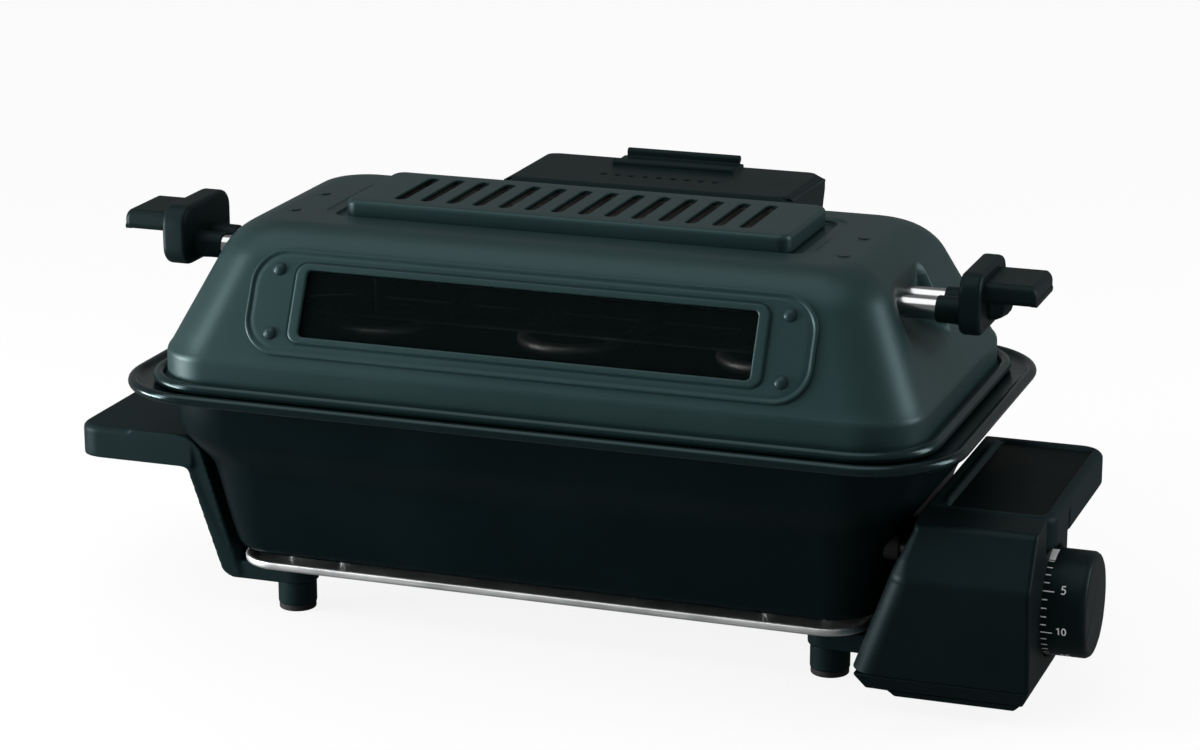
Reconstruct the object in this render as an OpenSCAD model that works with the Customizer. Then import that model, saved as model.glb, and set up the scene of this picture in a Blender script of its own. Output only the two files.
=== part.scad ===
// Electric fish roaster: a steel tub on a resin stand, a hinged lid with a
// window and a heater, and a clockwork timer box under the right handle.
// X runs along the roaster, Y runs to the back, Z is up from the bench.

/* [Tub] */
// Width of the tub over its rolled flange
tub_w = 420; // [414:0.5:424]
// Depth of the tub over its rolled flange
tub_d = 226; // [222:0.5:230]
// Height of the flange above the bench
flange_z = 127.5; // [127:0.1:128]
// Height of the tub's floor above the bench
tub_floor_z = 33; // [33:0.1:34]
// Thickness of the tub's steel
tub_t = 1.2; // [1:0.1:1.6]

/* [Lid] */
// Width of the rolled ring that the lid sits on
lid_w = 395; // [392:0.5:397]
// Depth of that ring
lid_d = 207; // [205:0.5:209]
// Height of the lid's top above the bench
lid_top_z = 203; // [202:0.1:204]
// Thickness of the lid's steel
lid_t = 1; // [0.8:0.1:1.2]

/* [Window] */
// Width of the window's outer frame
window_w = 274; // [266:1:276]
// Height of that frame along the sloping wall
window_h = 48; // [46:0.5:49]
// Width of the glass that shows
pane_w = 225; // [215:1:226]
// Height of the glass that shows
pane_h = 32.5; // [30:0.5:33]

/* [Steam vent] */
// Width of the vent cover
vent_w = 226; // [220:1:230]
// Depth of the vent cover
vent_d = 68; // [66:0.5:70]
// Number of slots in the cover
vent_slots = 14; // [10:1:14]

/* [Handles] */
// Distance from the middle to the tip of a stand handle
handle_reach = 250; // [248:0.5:252]
// Diameter of the polished rods of the lid handles
rod_dia = 10.8; // [10:0.1:11]
// Distance between the two rods of a lid handle
rod_pitch = 17; // [16:0.5:18]

/* [Timer] */
// Diameter of the timer dial
dial_dia = 50; // [48:0.5:51]
// How far the dial stands out of its box
dial_out = 20; // [18:0.5:22]

/* [Feet] */
// Diameter of a foot
foot_dia = 19.4; // [18:0.1:20]
// Distance from the middle to a foot
foot_x = 139; // [137:0.5:141]

/* [Hidden] */
$fn = 48;
play = 0.05;              // radial gap of a shaft in its bore
gap = 0.3;                // gap between pieces that must not touch
corner_steps = 8;         // facets in each rounded corner of a pressed shell

// stand
foot_front_y = -40;
foot_rear_y = 66;
foot_ys = [foot_front_y, foot_rear_y];
foot_pad_h = 3;
bar_z = 15;               // underside of the foot bars
bar_top_z = 24.5;
shield_z = 28;            // underside of the heat shield
shield_half_w = 161;
shield_front_y = -69;
shield_rear_y = 92;
shield_rim_h = 4;
shield_t = 1;
arm_top_ys = [-53, 53];   // where the arms leave the handle, and where they meet the bars
arm_foot_ys = [-46, 66];
left_top_z = 90;
right_top_z = 95;
handle_h = 16.5;
handle_half_d = 60;
handle_in_x = 186;        // inner end of a stand handle, under the tub's shoulder
arm_w = 10;               // width of a stand arm along Y
arm_t = 9.5;              // thickness of a stand arm along X
arm_top_x = 185;
arm_foot_x = 169.5;
boss_r = 11;              // foot bosses, as wide as the bars
shield_screw_x = 110;     // screws that hold the tub off the shield
shield_screw_y = 40;
hinge_screw_x = 50;       // screws of the hinge plate
hinge_screw_y = 84;
screw_r = 2;
screw_hole_r = 2.2;

// tub, from the bench up
tub_half_w = tub_w / 2;
tub_half_d = tub_d / 2;
tub_r = 46;
tub_wall_in = 18.5;       // wall inside the flange's outer edge

// lid
ring_r = 37;
ring_tube_r = 2.75;
ring_z = flange_z + 3 - ring_tube_r;
lid_wall_in = 7;          // band inside the ring's outer edge
step_z = 141;             // crease between the band and the sloping wall
slope_z = 188;            // top of the sloping wall
slope_run = 22;           // how far it leans in between those heights
lid_half_w = lid_w / 2 - lid_wall_in;
lid_half_d = lid_d / 2 - lid_wall_in;
wall_tilt = atan(slope_run / (slope_z - step_z - 1));

// lid handles
rivet_x = 139.5;          // rivets of the rod brackets, through the lid's top
rivet_ys = [-31.5, 4.8];
rod_y = (rivet_ys[0] + rivet_ys[1]) / 2;
rod_z = 179;
pad_x = 164;              // flat pads pressed into the lid's ends
pad_half_y = 23;
pad_z0 = 160;
pad_z1 = 193;
grip_in_x = 196;          // inner face of a handle's heat plate
grip_plate_t = 10;
grip_y = -12.5;
grip_plate_w = 54;
grip_z0 = 170.3;
grip_z1 = 200.2;
paddle_tip_x = 231;
paddle_w = 37;
paddle_z0 = 185.3;
paddle_z1 = 195.3;
rod_in_x = 141;
bracket_t = 1.5;
rod_end_x = grip_in_x + 7;
sleeve_r = 6.4;
sleeve_in_x = 182.5;

tray_lift = 2.5;          // the tray stands on the nuts in the tub's floor

// heaters
low_heater_z = 72;
low_heater_ys = [-56, -26, 20, 56];
low_heater_r = 3.25;
low_heater_end_x = 190;
gland_r = 6;
pin_r = 1.9;
top_heater_x = 8;
top_heater_z = 152;
top_heater_pitch = 50;
top_heater_r = 3.5;

// rear grip and hinge
rear_half_w = 78;
rear_y0 = 91;
rear_y1 = 155;
rear_top_z = 198;
cheek_t = 3.5;
hinge_y = 124;
hinge_z = 131;
hinge_r = 3;
hinge_eye_r = 8;
lug_t = 2.5;
lug_x = rear_half_w - cheek_t - 0.5 - lug_t;

// steam vent
vent_y = 1.5;

// control box
box_x = 246.5;            // flat right face
box_y = -16;              // back face
box_front = [[-62, 95], [-81, 94], [-95, 69.5], [-90.5, 21]];
seam_z = 20.5;
// left face of the box, leaning with the tub's wall and stepping out round its shoulder
box_left = [[163, seam_z], [181.5, 70], [184.5, 78], [188.6, 90], [188.8, 95.1]];
box_floor_z = 9;
box_wall = 2.5;
dial_y = -43;
dial_z = 50;
dial_in_x = 240.5;        // inner face of the dial, in its recess
recess_x = 240;
timer_neck_r = 5;
recess_r = 26;
shaft_r = 3;
box_screw_xs = [188, 232];
box_screw_y = -76;
inlet = [213, 40];        // cord inlet in the box's back wall
panel_x = 220.5;
panel_w = 45;
panel_d = 108;
panel_y = (box_front[0][0] + handle_half_d) / 2;
bush_r = 4;

// origin: middle of the bounding box, on the bench
mid_x = (box_x + dial_out - handle_reach) / 2;
mid_y = (rear_y1 + 2 - tub_half_d) / 2;

// ---------- shapes that several pieces share ----------

// moves a piece from the tub's own middle to the origin of the whole roaster
module placed() {
  translate([-mid_x, -mid_y, 0]) children();
}

// flat rounded rectangle about the origin
module rounded_rect(w, d, r) {
  square([w - 2 * r, d], center = true);
  square([w, d - 2 * r], center = true);
  for (x = [-1, 1], y = [-1, 1]) translate([x * (w / 2 - r), y * (d / 2 - r)]) circle(r);
}

// upright slab with rounded corners between two heights
module slab(w, d, r, z0, z1) {
  translate([0, 0, z0]) linear_extrude(z1 - z0) rounded_rect(w, d, r);
}

// block between two opposite corners
module block(a, b) {
  translate(a) cube(b - a);
}

// cylinder along X
module rod_x(r, x0, x1) {
  translate([x0, 0, 0]) rotate([0, 90, 0]) cylinder(r = r, h = x1 - x0);
}

// a shape at the right and its mirror image at the left
module both_ends() {
  children();
  mirror([1, 0, 0]) children();
}

// outline given in the Y-Z plane, standing between two X values
module side_plate(points, x0, x1) {
  translate([x0, 0, 0]) rotate([90, 0, 90]) linear_extrude(x1 - x0) polygon(points);
}

// outline given in the X-Z plane, standing between two Y values
module front_plate(points, y0, y1) {
  translate([0, y1, 0]) rotate([90, 0, 0]) linear_extrude(y1 - y0) polygon(points);
}

// sweeps a profile, x outwards and y up, round a rounded rectangle
module around(half_w, half_d, r) {
  for (s = [0, 180]) rotate(s) {
    translate([half_w, 0, 0]) rotate([90, 0, 0])
      linear_extrude(2 * (half_d - r), center = true) children();
    translate([0, half_d, 0]) rotate([90, 0, 90])
      linear_extrude(2 * (half_w - r), center = true) children();
  }
  for (q = [0:3]) translate([(q % 3 == 0 ? 1 : -1) * (half_w - r), (q < 2 ? 1 : -1) * (half_d - r), 0])
    rotate(90 * q) rotate_extrude(angle = 90) translate([r, 0]) children();
}

// one ring of points: rounded rectangle of half sizes w and d at height z
function ring(z, w, d, r) = [
  for (q = [0:3], k = [0:corner_steps])
    let (a = 90 * (q + k / corner_steps))
    [(q % 3 == 0 ? 1 : -1) * (w - r) + r * cos(a), (q < 2 ? 1 : -1) * (d - r) + r * sin(a), z]
];

// closed skin through rows of [z, w, d, r]; it runs down the outside of a wall
module skin(rows) {
  m = 4 * (corner_steps + 1);
  n = len(rows);
  points = [for (row = rows) each ring(row[0], row[1], row[2], row[3])];
  sides = [for (k = [0:n - 2], i = [0:m - 1])
    let (a = k * m + i, b = k * m + (i + 1) % m)
    each [[a, b, b + m], [a, b + m, a + m]]];
  polyhedron(points, concat([[for (i = [m - 1:-1:0]) i]], sides,
    [[for (i = [0:m - 1]) (n - 1) * m + i]]), convexity = 6);
}

function reversed(list) = [for (i = [len(list) - 1:-1:0]) list[i]];

// heating tube that runs to and fro: n runs along Y, joined by half rings
module serpentine(n, pitch, y0, y1, r) {
  for (i = [0:n - 1]) translate([(i - (n - 1) / 2) * pitch, y0, 0])
    rotate([-90, 0, 0]) cylinder(r = r, h = y1 - y0);
  for (i = [0:n - 2]) translate([(i - (n - 2) / 2) * pitch, i % 2 == 0 ? y0 : y1, 0])
    rotate(i % 2 == 0 ? 180 : 0) rotate_extrude(angle = 180) translate([pitch / 2, 0]) circle(r);
}

// ---------- stand ----------

module at_feet() {
  for (x = [-foot_x, foot_x], y = foot_ys) translate([x, y, 0]) children();
}

module at_shield_screws() {
  for (x = [-1, 1], y = [-1, 1]) translate([x * shield_screw_x, y * shield_screw_y, 0]) children();
}

module at_hinge_screws() {
  for (x = [-1, 1]) translate([x * hinge_screw_x, hinge_screw_y, 0]) children();
}

// aluminised steel plate under the tub, with a folded rim
module heat_shield() {
  d = shield_rear_y - shield_front_y;
  mid = (shield_rear_y + shield_front_y) / 2;
  color("gainsboro") placed() difference() {
    translate([0, mid, 0]) slab(2 * shield_half_w, d, 21, shield_z, shield_z + shield_rim_h);
    translate([0, mid, 0]) slab(2 * shield_half_w - 5, d - 5, 18.5, shield_z + shield_t, shield_z + 10);
    at_shield_screws() cylinder(r = screw_hole_r, h = shield_z + 5);
    at_hinge_screws() cylinder(r = screw_hole_r, h = shield_z + 5);
    at_feet() cylinder(r = screw_hole_r, h = shield_z + 5);
  }
}

// arm at index i of one side, leaning in from the handle to the foot bar
module arm(side, handle_z, i) {
  hull() {
    translate([side * arm_top_x - arm_t / 2, arm_top_ys[i] - arm_w / 2, handle_z]) cube([arm_t, arm_w, 1]);
    translate([side * arm_foot_x - arm_t / 2, arm_foot_ys[i] - arm_w / 2, bar_z]) cube([arm_t, arm_w, 1]);
  }
}

// side wall that closes a frame between its arms, or between the timer box and the rear arm
module side_wall(side, handle_z, top_y, foot_y) {
  wall_t = 2.5;
  outer = arm_t / 2;
  hull() for (p = [[arm_top_x, top_y, arm_top_ys[1], handle_z], [arm_foot_x, foot_y, arm_foot_ys[1], bar_z]])
    translate([side > 0 ? p[0] + outer - wall_t : -p[0] - outer, p[1], p[3]])
      cube([wall_t, p[2] - p[1], 1]);
}

// bars under the shield: one out from each foot boss, and one that joins the two feet
module foot_bars(side, reaches, joint_x) {
  for (i = [0, 1]) {
    x = side > 0 ? foot_x : -foot_x - reaches[i];
    translate([x, foot_ys[i] - boss_r, bar_z]) cube([reaches[i], 2 * boss_r, bar_top_z - bar_z]);
    translate([side * foot_x, foot_ys[i], bar_z]) cylinder(r = boss_r, h = shield_z - bar_z);
  }
  translate([side * joint_x - 4, foot_front_y, bar_z])
    cube([8, foot_rear_y - foot_front_y, bar_top_z - bar_z - 2]);
}

// plan of a stand handle: rounded at the far end, square beside the tub
module handle_outline(x0, x1, d, r) {
  translate([(x0 + x1) / 2, 0]) rounded_rect(x1 - x0, d, r);
  translate([x0, -d / 2]) square([(x1 - x0) / 2, d]);
}

// hollow handle block, open below, cut back beside the tub's shoulder
module handle_block(side, top_z, y0, y1) {
  x1 = side > 0 ? handle_reach - 1 : handle_reach;
  d = y1 - y0;
  mirror([side > 0 ? 0 : 1, 0, 0]) difference() {
    translate([0, (y0 + y1) / 2, 0]) difference() {
      hull() {
        translate([0, 0, top_z - handle_h]) linear_extrude(handle_h - 2)
          handle_outline(handle_in_x, x1, d, 12);
        translate([0, 0, top_z - 2]) linear_extrude(2)
          handle_outline(handle_in_x, x1 - 2, d - 4, 10);
      }
      translate([0, 0, top_z - handle_h - 1]) linear_extrude(handle_h - 4.5)
        handle_outline(handle_in_x + 3, x1 - 3, d - 6, 9);
    }
    front_plate([[170, 86], [186, 86], [188.6, 92], [188.6, 97], [170, 97]], -100, 100);
  }
}

module left_frame() {
  handle_z = left_top_z - handle_h;
  color("#1a2224") placed() difference() {
    union() {
      handle_block(-1, left_top_z, -handle_half_d, handle_half_d);
      for (i = [0, 1]) arm(-1, handle_z, i);
      side_wall(-1, handle_z, arm_top_ys[0], arm_foot_ys[0]);
      foot_bars(-1, [34, 34], 165);
    }
    at_feet() cylinder(r = screw_hole_r, h = shield_z + 1);
  }
}

module right_frame() {
  handle_z = right_top_z - handle_h;
  back_x = box_x - gap;
  joint_x = 156;
  color("#1a2224") placed() difference() {
    union() {
      handle_block(1, right_top_z, box_front[0][0] + gap, handle_half_d);
      arm(1, handle_z, 1);
      side_wall(1, handle_z, box_y + 1, box_y + 1);
      foot_bars(1, [21, 34], joint_x);
      front_plate([[joint_x - 4, bar_z], [back_x, bar_z], [back_x, handle_z + 1],
        [box_left[2][0], handle_z + 1], box_left[1], box_left[0], [joint_x + 3, bar_top_z - 3],
        [joint_x - 4, bar_top_z - 3]], box_y, box_y + 2.5);
    }
    at_feet() cylinder(r = screw_hole_r, h = shield_z + 1);
    translate([panel_x, panel_y, 0])
      slab(panel_w + 0.4, panel_d + 0.4, 3, right_top_z - 2, right_top_z + 1);
    translate([inlet[0], box_y - 1, inlet[1]]) rotate([-90, 0, 0]) cylinder(r = bush_r + play, h = 5);
  }
}

module foot_posts() {
  color("#14191b") placed() at_feet() difference() {
    translate([0, 0, foot_pad_h]) cylinder(r = foot_dia / 2, h = bar_z - foot_pad_h);
    cylinder(r = screw_hole_r, h = bar_z + 1);
    cylinder(r = 4, h = foot_pad_h + 3);
  }
}

module foot_pads() {
  color("#101314") placed() at_feet() cylinder(r = foot_dia / 2 - 0.4, h = foot_pad_h);
}

// screws up through the feet, each with its nut on the shield
module frame_screws() {
  head_z = foot_pad_h + 3;
  color("silver") placed() at_feet() {
    translate([0, 0, head_z]) cylinder(r = screw_r, h = shield_z + 3 - head_z);
    translate([0, 0, head_z - 2.5]) cylinder(r = 3.6, h = 2.5);
    translate([0, 0, shield_z + shield_t]) cylinder(r = 4, h = 2);
  }
}

// ---------- tub and what stands in it ----------

// outside of the tub below its flange: [z, inset from the flange's outer edge, corner radius]
tub_wall = [
  [119, tub_wall_in, 40], [101, tub_wall_in + 1.5, 40], [97, tub_wall_in + 3.1, 39.5],
  [92, tub_wall_in + 6.5, 38], [88, tub_wall_in + 9.5, 37], [83, tub_wall_in + 12.9, 36],
  [78, tub_wall_in + 15.3, 34], [70, tub_wall_in + 17.7, 31], [60, tub_wall_in + 20.3, 28],
  [50, tub_wall_in + 22.7, 26], [42, tub_wall_in + 24.7, 25], [38, tub_wall_in + 26.1, 24],
  [35.5, tub_wall_in + 28.5, 22], [34.2, tub_wall_in + 32.5, 20], [tub_floor_z, tub_wall_in + 38.5, 16]
];
function tub_rows(list) = [for (p = list) [p[0], tub_half_w - p[1], tub_half_d - p[1], p[2]]];

module tub() {
  bead_r = 2.7;
  bead = [for (a = [150:-30:-150])
    [flange_z - bead_r + bead_r * sin(a), bead_r - bead_r * cos(a), tub_r - bead_r + bead_r * cos(a)]];
  floor_row = [tub_floor_z + tub_t, tub_wall_in + 38, 15];
  inner = concat([floor_row], [for (p = reversed(tub_wall)) if (p[0] > tub_floor_z + tub_t + 0.1)
    [p[0], p[1] + tub_t, p[2] - tub_t]]);
  shelf = [[123.5, tub_wall_in + tub_t, 39], [124.7, tub_wall_in - 1, 41], [124.7, 6, 40]];
  lip = [[123.2, 6.5, 40], [121.6, 6.5, 40], [121.6, tub_wall_in - 0.4, 40.5]];
  color("#161d1f") placed() difference() {
    skin(tub_rows(concat(inner, shelf, bead, lip, tub_wall)));
    at_shield_screws() cylinder(r = screw_hole_r, h = tub_floor_z + 5);
    for (i = [0, 1]) translate([0, low_heater_ys[i], low_heater_z]) rod_x(gland_r + 0.1, 150, 200);
  }
}

// screws with distance washers that hold the tub off the shield
module tub_spacers() {
  color("silver") placed() at_shield_screws() {
    translate([0, 0, shield_z + shield_t]) cylinder(r = 6, h = tub_floor_z - shield_z - shield_t);
    translate([0, 0, shield_z - 2]) cylinder(r = 4, h = 2);
    translate([0, 0, shield_z - 1]) cylinder(r = screw_r, h = tub_floor_z + tub_t + 2 - shield_z);
    translate([0, 0, tub_floor_z + tub_t]) cylinder(r = 4, h = tray_lift);
  }
}

module drip_tray() {
  floor_z = tub_floor_z + tub_t + tray_lift;
  rim_z = 50;
  inner = [[floor_z + 1.2, 128, 38.5, 12], [floor_z + 3, 132, 42.5, 14], [rim_z, 137, 47.5, 16]];
  outer = [[rim_z, 143, 53.5, 21], [rim_z - 1.2, 143, 53.5, 21], [rim_z - 1.2, 138.2, 48.7, 17],
    [floor_z + 2.4, 133.2, 43.7, 15], [floor_z, 128.5, 39, 12.5]];
  color("#2a3032") placed() skin(concat(inner, outer));
}

// half ring of tube, open towards +X
module left_bend(r, tube_r) {
  rotate(90) rotate_extrude(angle = 180) translate([r, 0]) circle(tube_r);
}

// sheathed heater: a wide hairpin with a narrow one inside it, both ends at the right
module lower_heater() {
  ys = low_heater_ys;
  wide_r = (ys[3] - ys[0]) / 2;
  narrow_r = (ys[2] - ys[1]) / 2;
  side_r = (ys[3] - ys[2]) / 2;
  wide_x = -164 + wide_r;
  narrow_x = -150 + narrow_r;
  side_x = 143;
  color("#5d6263") placed() translate([0, 0, low_heater_z]) {
    translate([0, ys[0], 0]) rod_x(low_heater_r, wide_x, low_heater_end_x);
    translate([0, ys[1], 0]) rod_x(low_heater_r, narrow_x, low_heater_end_x);
    translate([0, ys[2], 0]) rod_x(low_heater_r, narrow_x, side_x);
    translate([0, ys[3], 0]) rod_x(low_heater_r, wide_x, side_x);
    translate([wide_x, 0, 0]) left_bend(wide_r, low_heater_r);
    translate([narrow_x, (ys[1] + ys[2]) / 2, 0]) left_bend(narrow_r, low_heater_r);
    translate([side_x, (ys[2] + ys[3]) / 2, 0]) rotate(180) left_bend(side_r, low_heater_r);
    for (i = [0, 1]) translate([0, ys[i], 0]) rod_x(pin_r, low_heater_end_x - 1, low_heater_end_x + 6);
  }
}

// folded straps that carry the heater above the tub's floor
module lower_heater_clips() {
  strap_z = low_heater_z - low_heater_r - 1.2;
  color("silver") placed() for (x = [-70, 70]) {
    block([x - 5, -60, strap_z], [x + 5, 60, strap_z + 1.2]);
    for (s = [-1, 1]) block([x - 5, s * 60 - 0.6, 34.9], [x + 5, s * 60 + 0.6, strap_z + 1.2]);
  }
}

// bushes that the heater's ends leave the tub through
module heater_gland() {
  color("gainsboro") placed() for (i = [0, 1]) translate([0, low_heater_ys[i], low_heater_z]) difference() {
    rod_x(gland_r, 165, 176.5);
    rod_x(low_heater_r + play, 160, 190);
  }
}

// flat wire grill on a frame of thicker wire, resting on the tub's shoulder
module grill_net() {
  half_w = 177.8;
  half_d = 80.8;
  corner_r = 34;
  frame_r = 2;
  bar_r = 1.2;
  net_z = 87.6;
  bars = 29;
  pitch = 12.1;
  // half the length of the bar at x, which ends on the frame
  function bar_reach(x) = half_d - corner_r + sqrt(corner_r ^ 2 - max(0, abs(x) - half_w + corner_r) ^ 2);
  color("silver") placed() translate([0, 0, net_z]) {
    around(half_w, half_d, corner_r) circle(frame_r);
    for (i = [0:bars - 1]) let (x = (i - (bars - 1) / 2) * pitch) translate([x, 0, frame_r + bar_r / 2])
      rotate([90, 0, 0]) cylinder(r = bar_r, h = 2 * bar_reach(x), center = true);
    for (y = [-45, 45]) translate([0, y, 0.4]) rod_x(1.6, -half_w, half_w);
  }
}

// ---------- control box ----------

// box shape: a side outline and a front outline run into each other
module box_form(side, front) {
  intersection() {
    side_plate(side, 150, 260);
    front_plate(front, -120, 20);
  }
}

module control_cover() {
  w = box_wall;
  top_z = box_front[0][1];
  notch_y = box_front[0][0];
  notch_z = right_top_z - handle_h - gap;
  side = concat(box_front, [[box_y - gap, seam_z], [box_y - gap, notch_z], [notch_y, notch_z]]);
  front = concat(box_left, [[box_x, top_z + 0.1], [box_x, seam_z]]);
  side_in = [[notch_y - w, top_z - w], [-80.5, top_z - 1 - w], [-95 + w, 69], [-90.5 + w, seam_z - 1],
    [0, seam_z - 1], [0, notch_z - w], [notch_y - w, notch_z - w]];
  front_in = concat([for (p = box_left) [p[0] + w, p[1] - 1]], [[box_x - w, top_z], [box_x - w, seam_z - 1]]);
  color("#1a2224") placed() intersection() {
    box_form(side, front);
    difference() {
      union() {
        difference() {
          block([150, -120, seam_z], [260, 20, 100]);
          box_form(side_in, front_in);
        }
        translate([0, dial_y, dial_z]) rod_x(recess_r + 2, recess_x - 2, box_x);
        for (x = box_screw_xs) translate([x, box_screw_y, seam_z - 1]) cylinder(r = 4, h = top_z - seam_z);
      }
      translate([0, dial_y, dial_z]) rod_x(recess_r, recess_x, box_x + 5);
      translate([0, dial_y, dial_z]) rod_x(timer_neck_r + 0.2, recess_x - 5, box_x);
      for (x = box_screw_xs) translate([x, box_screw_y, 0]) cylinder(r = 1.6, h = seam_z + 8);
      for (i = [0, 1]) translate([0, low_heater_ys[i], low_heater_z]) rod_x(low_heater_r + 1, 160, 200);
    }
  }
}

module control_bottom() {
  z0 = box_floor_z;
  floor_top_z = z0 + 6;
  color("#14191b") placed() difference() {
    union() {
      hull() {
        block([164, -89.8, seam_z - 1], [box_x - 0.5, box_y - 1, seam_z - 0.2]);
        block([169, -86.5, z0 + 3.5], [box_x - 3.5, box_y - 4, z0 + 4]);
      }
      hull() {
        block([178, -86, z0 + 4], [box_x - 4, -24, z0 + 5]);
        block([182, -84, z0], [box_x - 8, -28, z0 + 0.5]);
      }
    }
    difference() {
      block([172, -84, floor_top_z], [box_x - 5, box_y - 6, seam_z + 1]);
      for (x = box_screw_xs) translate([x, box_screw_y, 0]) cylinder(r = 4, h = seam_z - 0.2);
    }
    for (x = box_screw_xs) translate([x, box_screw_y, z0 - 1]) {
      cylinder(r = 3.2, h = 5);
      cylinder(r = 1.7, h = 20);
    }
    for (i = [0:5]) block([194 + 6 * i, -68, z0 - 1], [197 + 6 * i, -46, floor_top_z + 1]);
  }
}

// plain plate let into the top of the right handle
module handle_panel() {
  color("#20282a") placed() translate([panel_x, panel_y, 0])
    slab(panel_w, panel_d, 2.8, right_top_z - 2, right_top_z - 0.6);
}

// clockwork in its case, with the neck that the shaft turns in
module timer_unit() {
  half = 19;
  color("#c9c4b6") placed() translate([0, dial_y, dial_z]) difference() {
    union() {
      block([206, -half, -half], [recess_x - 2, half, half]);
      rod_x(timer_neck_r, recess_x - 4, recess_x - 0.3);
    }
    rod_x(shaft_r + play, 214, dial_in_x + 1);
  }
}

// bell that rings when the time is up: a cup on a post
module timer_bell() {
  cup_r = 13;
  color("silver") placed() translate([184, dial_y, dial_z]) rotate([0, 90, 0]) difference() {
    union() {
      cylinder(r1 = 9, r2 = cup_r, h = 3);
      translate([0, 0, 3]) cylinder(r = cup_r, h = 5);
      cylinder(r = 2, h = 22);
    }
    translate([0, 0, 1.2]) difference() {
      cylinder(r = 8, h = 10);
      cylinder(r = 2, h = 10);
    }
  }
}

module terminal_block() {
  color("ivory") placed() difference() {
    block([192, -62, 65], [203, -20, 75]);
    for (i = [0, 1]) translate([0, low_heater_ys[i], low_heater_z]) rod_x(pin_r + play, 185, 198);
  }
}

// wire through a list of points, with a ball at each bend
module wire(points, r) {
  for (i = [0:len(points) - 2]) {
    v = points[i + 1] - points[i];
    translate(points[i]) rotate([0, acos(v[2] / norm(v)), atan2(v[1], v[0])])
      cylinder(r = r, h = norm(v), $fn = 16);
  }
  for (i = [1:1:len(points) - 2]) translate(points[i]) sphere(r, $fn = 16);
}

module lead_wires() {
  y = -21.8;
  end_y = box_y - 0.5;
  color("ivory") placed() {
    wire([[198, y, 65], [198, y, 40], [211.4, y, 40], [211.4, end_y, 40]], 1.2);
    wire([[201.4, y, 65], [201.4, y, 36.5], [214.6, y, 36.5], [214.6, y, 40], [214.6, end_y, 40]], 1.2);
  }
}

// glass fuse that melts when the box runs too hot
module thermal_fuse() {
  color("silver") placed() translate([197.5, -62, 70]) rotate([90, 0, 0]) {
    cylinder(r = 0.8, h = 4);
    translate([0, 0, 4]) cylinder(r = 2.2, h = 11);
  }
}

// inlet that the mains lead comes out of
module cord_bush() {
  color("#101314") placed() translate([inlet[0], box_y, inlet[1]]) rotate([-90, 0, 0]) difference() {
    union() {
      translate([0, 0, -0.4]) cylinder(r = bush_r, h = 6);
      translate([0, 0, 2.5]) cylinder(r = 6.5, h = 3);
      translate([0, 0, 5]) cylinder(r = 5, h = 6);
    }
    translate([0, 0, -1]) cylinder(r = 3, h = 20);
  }
}

module box_screws() {
  color("silver") placed() for (x = box_screw_xs) translate([x, box_screw_y, box_floor_z + 4]) {
    translate([0, 0, -2]) cylinder(r = 3, h = 2);
    cylinder(r = 1.5, h = 14);
  }
}

// ---------- hinge at the back of the stand ----------

// pressed back plate on the shield, with a lug for each hinge pin
module hinge_bracket() {
  plate_y = 116.2;
  plate_t = 2;
  plate_half_w = 82;
  foot_z = shield_z + shield_rim_h;
  color("#1c2426") placed() difference() {
    union() {
      block([-plate_half_w, plate_y, foot_z], [plate_half_w, plate_y + plate_t, 118]);
      block([-70, 80, foot_z], [70, plate_y + plate_t, foot_z + 1.5]);
      at_hinge_screws() translate([0, 0, shield_z + shield_t]) cylinder(r = 4, h = shield_rim_h);
      both_ends() {
        side_plate([[plate_y, 96], [plate_y + plate_t, 96], [hinge_y + hinge_eye_r, hinge_z],
          [hinge_y, hinge_z + hinge_eye_r], [plate_y, hinge_z]], lug_x, lug_x + lug_t);
        translate([0, hinge_y, hinge_z]) rod_x(hinge_eye_r, lug_x, lug_x + lug_t);
      }
    }
    translate([0, hinge_y, hinge_z]) rod_x(hinge_r + play, -90, 90);
    at_hinge_screws() cylinder(r = screw_hole_r, h = 40);
    for (i = [-4:4]) translate([12 * i, plate_y - 1, 60]) rotate([-90, 0, 0])
      linear_extrude(5) rounded_rect(5, 36, 2.4);
  }
}

module hinge_pins() {
  color("silver") placed() translate([0, hinge_y, hinge_z]) both_ends() {
    rod_x(hinge_r, lug_x - 1.5, rear_half_w + 0.5);
    rod_x(5, rear_half_w + 0.5, rear_half_w + 2.5);
    rod_x(4.5, lug_x - 3, lug_x - gap);
  }
}

module hinge_screws() {
  head_z = shield_z + shield_rim_h + 1.5;
  color("silver") placed() at_hinge_screws() {
    translate([0, 0, head_z]) cylinder(r = 3.5, h = 2);
    translate([0, 0, shield_z - 3]) cylinder(r = screw_r, h = head_z + 1 - shield_z + 3);
    translate([0, 0, shield_z - 2]) cylinder(r = 3.5, h = 2);
  }
}

// ---------- timer dial ----------

module timer_dial() {
  face_x = box_x + dial_out;
  r = dial_dia / 2;
  color("#15191b") placed() translate([0, dial_y, dial_z]) difference() {
    translate([dial_in_x, 0, 0]) rotate([0, 90, 0]) rotate_extrude($fn = 96)
      polygon([[0, 0], [r, 0], [r, face_x - dial_in_x - 2.5], [r - 1, face_x - dial_in_x - 0.7],
        [r - 2.5, face_x - dial_in_x], [0, face_x - dial_in_x]]);
    rod_x(shaft_r + play, dial_in_x - 1, face_x - 6);
  }
}

module dial_shaft() {
  color("silver") placed() translate([0, dial_y, dial_z]) rod_x(shaft_r, 215, box_x + dial_out - 6.5);
}

// ---------- lid ----------

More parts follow.
